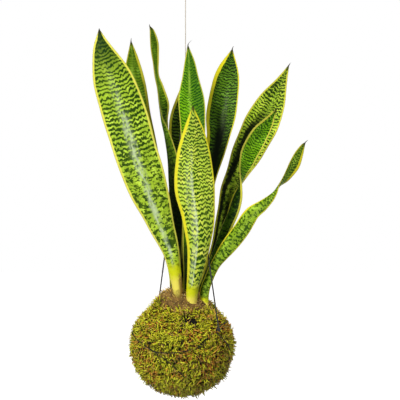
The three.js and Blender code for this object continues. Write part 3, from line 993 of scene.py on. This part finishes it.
@dataclass
class Binding:
    """Three closed turns of thread round the moss.

    Attributes:
        ball: The form that they are wound on.
        thread: How the thread is laid up.
        gap: The clearance from the moss.
        routes: For each turn, rows of a longitude, a latitude and how deep it has sunk, in millimetres.
    """

    ball: Ball
    thread: Rope = Rope(1.2, 2, 4.4, 0.22, 12)
    gap: float = 0.3
    routes: tuple = (
        ((-65, 9, 0.2), (-43, 1, 0), (-27, -7, 0), (-13, -17, 0), (-1, -30, 1.0), (18, -50, 3.4),
         (70, -68, 2.4), (145, -60, 1.6), (178, -32, 0.4), (-168, -6, 0.2), (-150, 13, 0.2),
         (-112, 17, 0.8), (-86, 14, 1.6)),
        ((-43, -2, 2.8), (-27, -5, 1.2), (-7, -5, 1.0), (9, -2, 1.0), (21, 2, 2.6), (41, 17, 3.2),
         (80, 21, 3.4), (115, 12, 1.8), (150, -5, 1.0), (-175, -16, 1.2), (-140, -19, 1.0),
         (-105, -13, 2.0), (-70, -6, 3.2)),
        ((41, 17, 1.4), (62, -2, 2.2), (76, -26, 4.2), (108, -52, 4.0), (178, -66, 2.0),
         (-128, -48, 2.0), (-130, -16, 2.0), (-150, 13, 1.0), (-170, 25, 2.0), (158, 30, 2.4),
         (122, 31, 3.0), (82, 27, 4.4)),
    )

    def path(self, layer: int, count: int = 420) -> np.ndarray:
        """The centreline of one turn.

        It is the curve through its directions, at the thread's distance, less how far each stretch has
        sunk into the moss.

        Args:
            layer: Which turn.
            count: How many points.

        Returns:
            One row for each point.
        """
        share = np.linspace(0, 1, count, endpoint=False)
        stations = np.array([direction(lon, lat) for lon, lat, _ in self.routes[layer]])
        towards = unit(through(stations, share, closed=True))
        reach = self.ball.thread_reach(towards, layer, self.thread.diameter, self.gap)
        return self.ball.centre() + towards * (reach - self.sunk(layer, count))[:, None]

    def sunk(self, layer: int, count: int = 420) -> np.ndarray:
        """How far each point of one turn has sunk into the moss, on the same curve as its path."""
        depths = np.array([[depth] for _, _, depth in self.routes[layer]])
        return through(depths, np.linspace(0, 1, count, endpoint=False), closed=True)[:, 0]

    def build(self) -> None:
        """Makes the three turns."""
        finish = BLACK_THREAD.make("black_thread")
        for layer in range(len(self.routes)):
            path = self.path(layer)
            outward = unit(path - self.ball.centre())
            turn = self.thread.along(path, outward, closed=True)
            name = f"binding_wrap_{layer + 1}"
            settle(turn.make(f"{name}_thread", finish), Slot.DARK_CORD, name)


class Tint(Enum):
    """The colours that the moss grows in."""

    # The first colour of each tint is the near-black between the fronds, partly painted shade.
    LIME = MossFinish(paint(24, 26, 1), paint(208, 212, 6), paint(252, 252, 66), paint(238, 206, 48))
    OLIVE = MossFinish(paint(12, 11, 1), paint(156, 156, 6), paint(230, 228, 40), paint(208, 178, 46))
    RUST = MossFinish(paint(12, 6, 1), paint(172, 104, 18), paint(242, 176, 62), paint(246, 204, 110))
    BARK = MossFinish(paint(58, 38, 14), paint(178, 132, 50), paint(238, 198, 108), paint(246, 220, 150))


@dataclass
class MossPlanting:
    """Where one lot of fronds grows and how it lies.

    Attributes:
        base: The root of each frond.
        outward: The direction out of the ball at each root.
        flow: The direction along the surface that each frond leans in.
        length: How long each is.
        width: How wide each is at its root.
        lift: How steeply each leaves the surface, in radians.
        dry: How dry each is, from 0 to 1.
    """

    base: np.ndarray
    outward: np.ndarray
    flow: np.ndarray
    length: np.ndarray
    width: np.ndarray
    lift: np.ndarray
    dry: np.ndarray

    def keep(self, which: np.ndarray) -> "MossPlanting":
        """The fronds that are picked out."""
        parts = (self.base, self.outward, self.flow, self.length, self.width, self.lift, self.dry)
        return MossPlanting(*(part[which] for part in parts))

    def surface(self, seed: int) -> Surface:
        """Every frond as a closed three-sided spike.

        At share u of its length a frond is at root + L (u cos(lift) flow + sin(lift) (u - d u^2) outward
        + c u^2 beside), and it is w (1 - 0.75 u) wide and just under half as thick, down to a point.
        """
        rng = np.random.default_rng(seed)
        count = len(self.base)
        beside = np.cross(self.outward, self.flow)
        curl = rng.normal(0, 0.28, count)[:, None]
        droop = rng.uniform(0.2, 0.6, count)[:, None]
        long, lift = self.length[:, None], self.lift[:, None]
        shares = (0.0, 0.38, 0.74, 1.0)
        rings = []
        for u in shares:
            rise = np.sin(lift) * (u - droop * u * u)
            way = self.flow * (u * np.cos(lift)) + self.outward * rise + beside * (curl * u * u)
            at = self.base + long * way
            if u == 1.0:
                rings.append(at[:, None, :])
                continue
            steep = np.sin(lift) * (1 - 2 * droop * u)
            heading = unit(self.flow * np.cos(lift) + self.outward * steep + beside * (2 * curl * u))
            aside = unit(np.cross(heading, self.outward))
            above = np.cross(aside, heading)
            wide = (self.width * 0.5 * (1 - 0.6 * u))[:, None]
            ridge, right = at + above * wide * 0.55, at + aside * wide - above * wide * 0.3
            left = at - aside * wide - above * wide * 0.3
            rings.append(np.stack([ridge, right, left], axis=1))
        points = np.concatenate(rings, axis=1)
        side = np.arange(3)
        ahead = (side + 1) % 3
        band = np.stack([side, ahead, ahead + 3, side + 3], axis=-1)
        quads = np.vstack([band, band + 3])
        tris = np.vstack([np.stack([side + 6, ahead + 6, np.full(3, 9)], axis=-1), [[0, 2, 1]]])
        start = (np.arange(count) * 10)[:, None, None]
        share = np.repeat(shares, (3, 3, 3, 1))
        tint = rng.uniform(0, 1, count)
        marks = np.stack(
            [np.tile(share, count), np.repeat(tint, 10), np.repeat(self.dry, 10)],
            axis=-1,
        )
        return Surface(
            points.reshape(-1, 3),
            (quads[None] + start).reshape(-1, 4),
            (tris[None] + start).reshape(-1, 3),
            {"frond": marks},
        )


@dataclass
class Moss:
    """The moss jacket: a dark felted ground, partly painted shade under the fronds, and the fronds that
    cover it.

    Attributes:
        ball, binding: The form that it covers and the thread that presses it down.
        fronds, crown_fronds, strays: How many of each kind grow.
        seed: Fixes where they grow.
        rust_spots, lime_spots: Rows of a longitude, a latitude and a spread, where a tint is commoner.
        hollow: The longitude, latitude and spread of the hollow, dark with painted shade.
        hollow_depth: How far its middle is pressed in.
        bare_depth: How far a place is pressed in before nothing grows there.
        felt_depth: How far the felted ground lies under the ball's form.
        opening: How far the fronds stay from the leaves' axis, in degrees.
        frond_length: The shape and the scale of the spread of lengths.
        frond_width: The narrowest and the widest.
        frond_lift: The mean and the spread of how steeply they stand, in radians.
        cleared, grown: How near to a thread the fronds lie flat, and how far off they stand free.
    """

    ball: Ball
    binding: Binding
    fronds: int = 15000
    crown_fronds: int = 1200
    strays: int = 1300
    seed: int = 11
    rust_spots: tuple = ((38, -25, 0.20), (-1, -9, 0.16), (-37, -32, 0.13), (-38, 19, 0.12), (59, 25, 0.20),
                         (14, 12, 0.16), (120, -10, 0.26), (-125, 5, 0.24), (175, 20, 0.28))
    # The wide lime spot at the left front, where the key light falls, is partly the moss's own tint and
    # partly painted light.
    lime_spots: tuple = ((-48, -10, 0.42), (-22, 26, 0.3), (10, -58, 0.4), (62, -10, 0.2), (100, 15, 0.4),
                         (-160, -20, 0.5))
    hollow: tuple = (13, 33, 0.15)
    hollow_depth: float = 3.0
    bare_depth: float = 1.7
    felt_depth: float = 2.9
    opening: float = 26.0
    frond_length: tuple[float, float] = (9.0, 0.7)
    frond_width: tuple[float, float] = (1.3, 2.5)
    frond_lift: tuple[float, float] = (0.92, 0.36)
    cleared: float = 1.6
    grown: float = 4.8

    def axis(self) -> np.ndarray:
        """The direction in which the leaves come out."""
        return unit(np.array([0.1, -0.13, 1.0]))

    def clumps(self, points: np.ndarray) -> np.ndarray:
        """Soft tufts about 9 mm apart, from -1 to 1."""
        return np.clip(0.7 * Ripple(9.0, 3).at(points) + 0.4 * Ripple(4.5, 4).at(points), -1, 1)

    def sunk(self, towards: np.ndarray) -> np.ndarray:
        """How far the surface is pressed in, a bell round the hollow."""
        lon, lat, wide = self.hollow
        return self.hollow_depth * bell(np.linalg.norm(towards - direction(lon, lat), axis=1), wide)

    def ground(self) -> Surface:
        """The felted ground: the ball's form with tufts, over a grid of longitude and latitude."""
        rows, columns = 150, 300
        lat = np.linspace(-89.3, 89.3, rows)
        lon = np.linspace(0, 360, columns, endpoint=False)
        lats, lons = np.meshgrid(np.radians(lat), np.radians(lon), indexing="ij")
        level = np.cos(lats)
        towards = np.stack([level * np.sin(lons), -level * np.cos(lons), np.sin(lats)], axis=-1)
        towards = towards.reshape(-1, 3)
        reach = self.ball.reach(towards) - self.sunk(towards)
        under = smoothstep(towards @ self.axis(), np.cos(np.radians(36)), np.cos(np.radians(28)))
        points = towards * reach[:, None]
        reach = reach - self.felt_depth + self.clumps(points) - 6.0 * under
        quads, triangles = ring_faces(rows, columns, False)
        crumbs = 0.5 + 0.5 * self.clumps(points)
        # Painted shade: the marks keep the felted ground near its root colour under the fronds and take it
        # fully to that colour in the hollow.
        lit = 1 - np.clip(self.sunk(towards) / self.hollow_depth, 0, 1)
        marks = np.stack([0.1 + 0.25 * crumbs, crumbs, 0.3 + 0.2 * crumbs], axis=-1) * lit[:, None]
        return Surface(self.ball.centre() + towards * reach[:, None], quads, triangles, {"frond": marks})

    def planting(self) -> MossPlanting:
        """The fronds all over the ball, brushed into tufts and pressed down by the binding."""
        rng = np.random.default_rng(self.seed)
        towards = unit(rng.normal(size=(int(self.fronds * 1.15), 3)))
        towards = towards[towards @ self.axis() < np.cos(np.radians(self.opening))][: self.fronds]
        count = len(towards)
        lumps = self.clumps(towards * self.ball.radius)
        deep = self.sunk(towards)
        reach = self.ball.reach(towards) - self.felt_depth + lumps - deep
        base = self.ball.centre() + towards * reach[:, None]
        drift = np.stack([Ripple(26.0, 20 + k).at(base) for k in range(3)], axis=-1)
        loose = rng.normal(0, 0.75, (count, 3)) + [0, 0, -0.35]
        mixed = drift + loose
        flow = unit(mixed - towards * np.einsum("ij,ij->i", mixed, towards)[:, None])
        layers = range(len(self.binding.routes))
        threads = np.vstack([self.binding.path(layer) for layer in layers])
        hidden = np.concatenate([self.binding.sunk(layer) for layer in layers])
        near = np.full(count, 99.0)
        for chunk, under in zip(np.array_split(threads, 12), np.array_split(hidden, 12)):
            apart = np.linalg.norm(base[:, None] - chunk[None], axis=2)
            eased = apart + 3.0 * np.maximum(under - 1.0, 0.0)
            near = np.minimum(near, eased.min(axis=1))
        free = 0.3 + 0.7 * smoothstep(near, self.cleared, self.grown)
        low = smoothstep(-towards[:, 2], 0.1, 0.7)
        short = 1 - 0.86 * smoothstep(deep, 1.2, 4.2)
        length = rng.gamma(*self.frond_length, count) * free * short * (1 + 0.3 * low)
        width = rng.uniform(*self.frond_width, count)
        lift = np.clip(rng.normal(*self.frond_lift, count), 0.2, 1.45) * free
        dry = rng.uniform(0, 0.55, count)
        planting = MossPlanting(base, towards, flow, length, width, lift, dry)
        return planting.keep(deep < self.bare_depth)

    def near_spots(self, towards: np.ndarray, spots: tuple) -> np.ndarray:
        """How much each direction belongs to a set of round spots, from 0 to 1."""
        total = np.zeros(len(towards))
        for lon, lat, wide in spots:
            total += bell(np.linalg.norm(towards - direction(lon, lat), axis=1), wide)
        return np.clip(total, 0, 1)

    def tints(self, planting: MossPlanting) -> list[tuple[Tint, np.ndarray]]:
        """Which fronds take which tint: by spots, by a slow drift and by chance."""
        rng = np.random.default_rng(self.seed + 1)
        towards = planting.outward
        chance = rng.uniform(0, 1, len(towards))
        drift = 0.16 * Ripple(34.0, 40).at(planting.base) + 0.12 * Ripple(11.0, 41).at(planting.base)
        rust = 0.12 + 0.62 * self.near_spots(towards, self.rust_spots) + drift
        lime = 0.42 + 0.35 * self.near_spots(towards, self.lime_spots) - drift
        is_rust = chance < rust
        is_lime = ~is_rust & (rng.uniform(0, 1, len(towards)) < lime)
        return [(Tint.RUST, is_rust), (Tint.LIME, is_lime), (Tint.OLIVE, ~is_rust & ~is_lime)]

    def crown_planting(self) -> MossPlanting:
        """Brown dry moss round the feet of the leaves, shorter and steeper."""
        rng = np.random.default_rng(self.seed + 2)
        spread = np.radians(rng.uniform(0, 1, self.crown_fronds) ** 0.5 * 29)
        spin = rng.uniform(0, 2 * np.pi, self.crown_fronds)
        axis = self.axis()
        first = unit(np.cross(axis, [0.0, 1.0, 0.0]))
        second = np.cross(axis, first)
        level = np.cos(spin)[:, None] * first + np.sin(spin)[:, None] * second
        towards = unit(np.cos(spread)[:, None] * axis + np.sin(spread)[:, None] * level)
        reach = self.ball.reach(towards) - 0.2 - 2.8 * smoothstep(spread, np.radians(15), np.radians(28))
        base = self.ball.centre() + towards * reach[:, None]
        loose = rng.normal(0, 1, (len(base), 3)) + level * 0.5
        flow = unit(loose - towards * np.einsum("ij,ij->i", loose, towards)[:, None])
        length = rng.gamma(8.0, 0.85, len(base))
        lift = np.clip(rng.normal(0.95, 0.35, len(base)), 0.2, 1.4)
        dry = rng.uniform(0.1, 0.8, len(base))
        return MossPlanting(base, towards, flow, length, rng.uniform(1.4, 2.5, len(base)), lift, dry)

    def stray_planting(self) -> MossPlanting:
        """Long fine fibres that stand off the ball, with a small tail under its left."""
        rng = np.random.default_rng(self.seed + 3)
        towards = unit(rng.normal(size=(self.strays, 3)))
        towards = towards[towards @ self.axis() < np.cos(np.radians(36))]
        tail = np.array([direction(-90, -63), direction(-86, -62), direction(-93, -65)])
        towards = np.vstack([towards, tail])
        base = self.ball.centre() + towards * (self.ball.reach(towards) - 1.0)[:, None]
        loose = rng.normal(0, 1, (len(base), 3))
        loose[-3:] = [0.0, 0.0, -1.0]
        flow = unit(loose - towards * np.einsum("ij,ij->i", loose, towards)[:, None])
        length = rng.uniform(6.0, 10.0, len(base))
        lift = rng.uniform(0.45, 1.05, len(base))
        lift[-3:] = 1.1
        dry = rng.uniform(0.3, 1.0, len(base))
        return MossPlanting(base, towards, flow, length, rng.uniform(0.6, 1.1, len(base)), lift, dry)

    def build(self) -> None:
        """Makes the ground and every lot of fronds."""
        ground = self.ground().make("moss_ground", Tint.OLIVE.value.make("moss_ground"))
        settle(ground, Slot.MOSS, "moss_jacket")
        planting = self.planting()
        for number, (tint, which) in enumerate(self.tints(planting)):
            name = f"moss_{tint.name.lower()}"
            lot = planting.keep(which).surface(self.seed + 5 + number)
            settle(lot.make(name, tint.value.make(name)), Slot.MOSS)
        crown = self.crown_planting().surface(self.seed + 8)
        settle(crown.make("moss_crown", Tint.BARK.value.make("moss_crown")), Slot.MOSS)
        strays = self.stray_planting().surface(self.seed + 9)
        settle(strays.make("moss_strays", Tint.RUST.value.make("moss_strays")), Slot.MOSS)


@dataclass
class Leaf:
    """One leaf: an arc-shaped section carried along a midrib.

    Attributes:
        name: The CAD node that it stands for.
        finish: Its skin.
        awn: The length of the dry point at its tip.
        stations: Rows of x, y and z from the crown, width, turn and curl in degrees.
        hook: How far the awn bends aside, as a share of its length.
        wave: How far its margins ripple.
        around, along: How many vertices go round it and along it.
        foot_wall, blade_wall, margin_wall: How thick the foot, the blade and the margins are.
        foot_depth: How far the foot goes down under the crown.
    """

    name: str
    finish: LeafFinish
    awn: float
    stations: tuple
    hook: float = 0.2
    wave: float = 0.55
    around: int = 56
    along: int = 190
    foot_wall: float = 4.6
    blade_wall: float = 2.8
    margin_wall: float = 0.9
    foot_depth: float = 26.0

    def walls(self, t: np.ndarray) -> np.ndarray:
        """Thickness at the middle: a fleshy foot that eases into an even blade, thinner at its tip."""
        foot = smoothstep(t, 0.08, 0.4)
        thinning = (self.blade_wall - self.margin_wall) * 0.6 * smoothstep(t, 0.8, 1.0)
        return self.foot_wall + (self.blade_wall - self.foot_wall) * foot - thinning

    def surface(self, crown: float, seed: int) -> Surface:
        """The leaf's skin.

        With T the midrib's direction, F the front less its part along T, and A = T x F, both turned about
        T, a point at share s across is the midrib + A R sin(sc/2) + F R (1 - cos(sc/2)) + N side wall,
        where c is the curl, R = width / (2 sin(c/2)), N = F cos(sc/2) - A sin(sc/2), and the wall thins
        from the middle to the margins with 1 - s^2. Round the section s = cos(a) and side is the square
        root of |sin(a)|, with its sign, which rounds the margins. The margins ripple a little.

        Args:
            crown: The height of the crown.
            seed: Fixes the ripples.

        Returns:
            The surface, marked with where each vertex is on the blade.
        """
        rows = np.array(self.stations, dtype=float)
        rng = np.random.default_rng(seed)
        low = (rows[0, 2] + self.foot_depth) / (rows[0, 2] - rows[1, 2]) / (len(rows) - 1)
        t = low + (1 - low) * np.linspace(0, 1, self.along)
        rib = through(rows[:, :3], t) + [0.0, 0.0, crown]
        form = through(rows[:, 3:], t)
        step = 1e-4
        ahead = through(rows[:, :3], np.minimum(t + step, 1.0))
        behind = through(rows[:, :3], np.maximum(t - step, 0.0))
        way = unit(ahead - behind)
        front = np.array([0.0, -1.0, 0.0])
        facing = unit(front - way * (way @ front)[:, None])
        beside = np.cross(way, facing)
        turn = -np.radians(form[:, 1])[:, None]
        facing, beside = (v * np.cos(turn) + np.cross(way, v) * np.sin(turn) for v in (facing, beside))

        a = np.linspace(0, 2 * np.pi, self.around, endpoint=False)
        share = np.cos(a)[None, :]
        side = 0.5 * (np.sign(np.sin(a)) * np.abs(np.sin(a)) ** 0.5)[None, :]
        width = np.maximum(form[:, 0], 1.0)[:, None]
        curl = np.radians(np.where(np.abs(form[:, 2]) < 4, 4, form[:, 2]))[:, None]
        radius = width / (2 * np.sin(curl / 2))
        angle = share * curl / 2
        normal = facing[:, None] * np.cos(angle)[..., None] - beside[:, None] * np.sin(angle)[..., None]
        wall = self.margin_wall + (self.walls(t)[:, None] - self.margin_wall) * (1 - share**2)
        gone = travelled(rib)
        mid = np.sin(np.pi * np.clip(t, 0, 1))[:, None]
        beat = 2 * np.pi * gone[:, None] / rng.uniform(38, 52)
        phase = np.where(share > 0, rng.uniform(0, 6), rng.uniform(0, 6))
        ripple = self.wave * mid * np.abs(share) ** 2.5 * np.sin(beat + phase)
        points = (
            rib[:, None]
            + beside[:, None] * (radius * np.sin(angle))[..., None]
            + facing[:, None] * (radius * (1 - np.cos(angle)))[..., None]
            + normal * (side * wall + ripple)[..., None]
        )

        last = points[-1] - rib[-1]
        v = np.linspace(0, 1, 13)[1:]
        bow = self.awn * self.hook
        hook = rib[-1] + way[-1] * (self.awn * v)[:, None] + beside[-1] * (bow * v**2)[:, None]
        awn = hook[:, None] + last[None] * (1 - 0.86 * v)[:, None, None]
        points = np.concatenate([points, awn])

        half = np.abs(radius * curl / 2)
        up = np.interp(crown, rib[:, 2], gone)
        zeros = np.zeros((len(t), self.around))
        blade = np.stack([share * half, (gone - up)[:, None] + zeros, share + zeros], axis=-1)
        edge = np.stack([(1 + share) * half, (1 - share) * half, np.sin(a)[None, :] + zeros], axis=-1)
        tip_left = (gone[-1] - gone)[:, None] + zeros
        course = np.stack([t[:, None] + zeros, rib[:, 2][:, None] - crown + zeros, tip_left], axis=-1)
        beyond = -(self.awn * v)[:, None] + np.zeros((len(v), self.around))
        marks = {}
        for mark, grid in (("blade", blade), ("edge", edge), ("course", course)):
            extra = np.repeat(grid[-1:], len(v), axis=0)
            if mark == "course":
                extra[..., 2] = beyond
            marks[mark] = np.concatenate([grid, extra]).reshape(-1, 3)
        quads, triangles = ring_faces(len(points), self.around, False)
        return Surface(points.reshape(-1, 3), quads, triangles, marks)

    def build(self, crown: float, number: int) -> None:
        """Makes the leaf and dresses it."""
        finish = self.finish.make(f"{self.name}_skin", 13.7 * (number + 1))
        piece = self.surface(crown, 100 + number).make(f"{self.name}_blade", finish)
        settle(piece, Slot.LEAF, self.name)


LEAVES = (
    Leaf(
        "leaf_left_broad",
        LeafFinish(
            paint(172, 206, 50), paint(14, 54, 1), paint(238, 234, 100), 2.9, 2.6, 8.6, 0.97, 0.34, 9.0,
            jag=13.0, bloom_and_highlight=(0.9, -0.06, 0.3), solid=0.54, tip=0.95, foot_at=(10.0, 42.0), sheath=24.0,
        ),
        2.0,
        (
            (-8, -26, -33, 11, 0, -90), (-9, -29, 0, 11, 0, -100), (-16, -33, 45, 19, 0, -90),
            (-31, -36, 88, 34, 0, -60), (-46, -38, 130, 48, 0, -40), (-59, -39, 169, 51, 0, -32),
            (-72, -40, 212, 53, 4, -28), (-86, -41, 253, 47, 6, -28), (-97, -42, 286, 25, 6, -30),
            (-101, -42, 310, 1.4, 6, -30),
        ),
    ),
    Leaf(
        "leaf_left_rear",
        LeafFinish(
            paint(116, 156, 14), paint(36, 72, 2), paint(176, 170, 46), 1.2, 3.0, 6.4, 0.7, 0.4,
            rib=(0.5, -0.1, 0.5), shade=(90.0, 200.0, -1.4), tip=0.6,
        ),
        5.0,
        (
            (-12, 3, -33, 11, 0, 80), (-12, 3, 2, 12, 0, 90), (-16, 8, 41, 15, -5, 80),
            (-25, 15, 84, 20, -8, 60), (-40, 24, 126, 28, -10, 50), (-51, 34, 169, 34, -12, 45),
            (-60, 44, 212, 34, -12, 45), (-64, 53, 254, 28, -12, 45), (-66, 60, 284, 15, -12, 45),
            (-68, 64, 306, 1.4, -12, 45),
        ),
    ),
    Leaf(
        "leaf_slender_twisted",
        LeafFinish(
            paint(122, 168, 22), paint(20, 50, 3), paint(206, 200, 72), 1.2, 2.4, 5.2, 0.85, 0.35, 5.0,
            jag=10.0, shade=(95.0, 215.0, -1.4), tip=0.4, back=0.1,
        ),
        3.0,
        (
            (-13, -13, -33, 11, -180, 80), (-13, -12, 0, 12, -175, 90), (-13, -8, 44, 15, -165, 90),
            (-13, -3, 88, 19, -155, 90), (-15, 2, 128, 21, -140, 95), (-19, 5, 160, 21, -122, 100),
            (-24, 8, 186, 20, -100, 100), (-28, 11, 206, 18, -75, 100), (-29, 13, 226, 19, -52, 95),
            (-32, 16, 246, 12, -50, 90), (-36, 18, 262, 8.2, -50, 80), (-37.5, 21, 282, 11, -42, 60),
            (-38.7, 23, 300, 13, -38, 50), (-41, 25, 314, 8, -38, 50), (-43.5, 25, 321, 1.2, -40, 50),
        ),
    ),
    Leaf(
        "leaf_rear_dark",
        LeafFinish(
            paint(84, 116, 10), paint(6, 22, 1), paint(200, 194, 54), 3.2, 1.0, 6.4, 0.95, 0.5,
            shade=(120.0, 215.0, -1.4), tip=0.5,
        ),
        3.0,
        (
            (-3, 18, -33, 11, 0, 80), (-3, 20, 2, 12, 0, 90), (-4, 29, 43, 18, 0, 70),
            (-4, 38, 88, 24, 0, 55), (-4, 45, 130, 30, 0, 50), (-4, 50, 169, 32, 0, 50),
            (-4, 54, 208, 32, 0, 45), (2, 57, 244, 20, 0, 45), (4, 59, 273, 1.4, 0, 40),
        ),
    ),
    Leaf(
        "leaf_centre_tall",
        LeafFinish(
            paint(122, 186, 8), paint(16, 70, 1), paint(206, 208, 66), 1.1, 1.1, 6.2, 0.95, 0.3, 9.0,
            jag=13.0, chevron=10.0, rib=(0.6, -0.12, 0.2), painted_side_shade=0.5, shade=(40.0, 110.0, -1.4), tip=0.5,
        ),
        6.5,
        (
            (4, -11, -33, 11, 0, 80), (4, -14, 0, 12, 0, 85), (4, -18, 40, 14, 0, 75),
            (5, -22, 80, 17, 0, 60), (6, -23, 120, 20, 0, 50), (8, -20, 160, 26, 0, 42),
            (9, -15, 198, 30, 0, 36), (7, -12, 230, 31, 0, 30), (6, -11, 256, 20, 0, 30),
            (5, -10, 276, 12, 0, 30), (3, -10, 294, 1.2, 0, 30),
        ),
        hook=0.9,
    ),
    Leaf(
        "leaf_front",
        LeafFinish(
            paint(200, 228, 70), paint(14, 62, 1), paint(236, 226, 38), 4.0, 1.8, 6.9, 0.96, 0.14, 6.0,
            jag=15.0, bloom_and_highlight=(0.4, -0.3, 0.34), painted_highlight=(0.6, -0.12, 0.12), solid=0.52, tip=0.2,
            foot_at=(-10.0, 14.0),
        ),
        2.0,
        (
            (7, -27, -33, 11, 0, -80), (8, -33, 0, 14, 0, -110), (13, -42, 32, 21, 0, -85),
            (16, -48, 63, 30, 0, -62), (15, -51, 94, 40, 0, -45), (11, -53, 126, 47, 0, -34),
            (10, -54, 159, 41, 0, -30), (10, -55, 189, 26, 0, -28), (9, -56, 219, 1.4, 0, -28),
        ),
    ),
    Leaf(
        "leaf_rear_right",
        LeafFinish(
            paint(98, 146, 22), paint(4, 28, 1), paint(236, 224, 34), 4.4, 1.4, 6.4, 0.95, 0.4, 8.0,
            jag=12.0, bloom_and_highlight=(0.45, 0.2, 0.3), fold_shade=(0.97, 0.1, 0.5), fold_shade_top=0.76, solid=0.54,
            shade=(150.0, 226.0, -0.45), tip=0.35,
        ),
        5.0,
        (
            (2, 4, -33, 11, 0, 80), (2, 4, 2, 12, 0, 90), (7, 8, 38, 14, 0, 80), (15, 12, 76, 15, 0, 80),
            (23, 17, 112, 16, 0, 78), (31, 22, 147, 19, 0, 72), (39, 29, 184, 28, 0, 60),
            (43, 34, 214, 36, 0, 55), (48, 39, 246, 34, 0, 50), (52, 44, 270, 25, 0, 45),
            (57, 49, 295, 1.4, 0, 40),
        ),
    ),
    Leaf(
        "leaf_right_tall",
        LeafFinish(
            paint(180, 216, 52), paint(12, 44, 1), paint(226, 218, 70), 1.8, 1.8, 6.8, 0.96, 0.45, 9.0,
            jag=12.0, rib=(0.45, 0.05, 0.12), fold_shade=(0.98, -0.48, 0.4), fold_shift=0.5,
            fold_shade_top=0.86, solid=0.53, shade=(100.0, 150.0, 0.15), tip=0.3,
        ),
        5.0,
        (
            (18, 13, -33, 11, 0, 80), (21, 14, 2, 12, 0, 85), (30, 20, 30, 12, 0, 85),
            (39, 25, 62, 13, 0, 85), (46, 30, 98, 15, 0, 85), (52, 35, 122, 19, 0, 80),
            (62, 39, 142, 27, 0, 72), (73, 44, 164, 36, 0, 66), (84, 49, 186, 41, 0, 58),
            (94, 54, 206, 42, 0, 52), (106, 59, 231, 34, 0, 46), (118, 62, 256, 15, 0, 42),
            (127, 64, 276, 1.4, 0, 40),
        ),
    ),
    Leaf(
        "leaf_right_curled",
        LeafFinish(
            paint(136, 200, 18), paint(14, 60, 1), paint(236, 230, 84), 2.4, 1.6, 6.0, 0.95, 0.35, 7.0,
            jag=14.0, solid=0.54, tip=0.3, back=0.8,
        ),
        3.0,
        (
            (19, -4, -33, 11, -150, 80), (20, -4, 2, 12, -150, 80), (27, -4, 18, 11, -150, 78),
            (33, -3, 37, 11.5, -148, 76), (40, -2, 56, 13.5, -146, 72), (48, -1, 76, 15, -144, 70),
            (56, 0, 95, 16, -142, 70), (60, 1, 108, 16, -137, 68), (62.5, 2, 118, 15, -121, 66),
            (65.5, 3, 128, 12, -92, 64), (67, 4, 137, 13, -66, 60), (69, 5, 147, 18, -46, 56),
            (72, 7, 156, 22, -34, 54), (76, 9, 167, 24.5, -26, 52), (82.5, 12, 179, 24.5, -22, 50),
            (90, 14, 191, 22, -20, 48), (99, 17, 203, 15, -20, 46), (110, 20, 220, 1.2, -20, 40),
        ),
    ),
    Leaf(
        "leaf_right_low",
        LeafFinish(
            paint(152, 190, 40), paint(24, 66, 2), paint(236, 222, 40), 1.0, 3.6, 5.6, 0.92, 0.45, 8.0,
            jag=12.0, solid=0.54, tip=0.2, back=0.15,
        ),
        5.0,
        (
            (21, -18, -33, 11, -160, 80), (22, -20, 0, 12, -160, 85), (28, -22.5, 18, 11, -158, 80),
            (34.5, -25, 33, 12.5, -156, 78), (42, -27, 45, 16.5, -155, 78), (49, -29, 54.5, 19.5, -153, 75),
            (57.5, -31, 66, 22, -151, 72), (65.5, -33.5, 77, 22.5, -149, 69), (72, -35, 87, 21.5, -147, 66),
            (79, -36.5, 96, 19.5, -145, 62), (89.5, -38.5, 104, 17, -142, 58),
            (99, -40.5, 112, 13, -132, 54), (105, -41.5, 118.5, 11, -112, 50), (109, -42, 125, 11, -90, 50),
            (113, -43, 130.5, 11, -66, 50), (119, -44, 138, 12.5, -42, 50), (127, -46, 151, 15, -28, 50),
            (133, -47, 164, 11, -22, 50), (137.5, -48, 173, 5.5, -20, 50), (140.5, -48, 177, 1.2, -20, 50),
        ),
    ),
)


@dataclass
class Roots:
    """The parts under the moss that stay as the CAD made them, with natural finishes."""

    def dress(self) -> None:
        """Gives the soil and the rhizome their finishes."""
        for node, finish in (("soil_core", SOIL), ("rhizome", RHIZOME)):
            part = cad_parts[node]
            material = finish.make(node)
            for holder in part.material_slots:
                holder.material = material
            LOG.info("%s: dressed", node)


def main() -> None:
    """Builds the plant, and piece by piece."""
    logging.basicConfig(level=logging.INFO, format="%(name)s %(message)s")
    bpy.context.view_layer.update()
    crown = float(middle("gathering_knot")[2] - CROWN_DROP)
    ball = Ball(crown=crown)
    binding = Binding(ball)
    Studio().build()
    Hanger().build()
    binding.build()
    for number, leaf in enumerate(LEAVES):
        leaf.build(crown, number)
    Moss(ball, binding).build()
    Roots().dress()


if __name__ == "__main__":
    main()
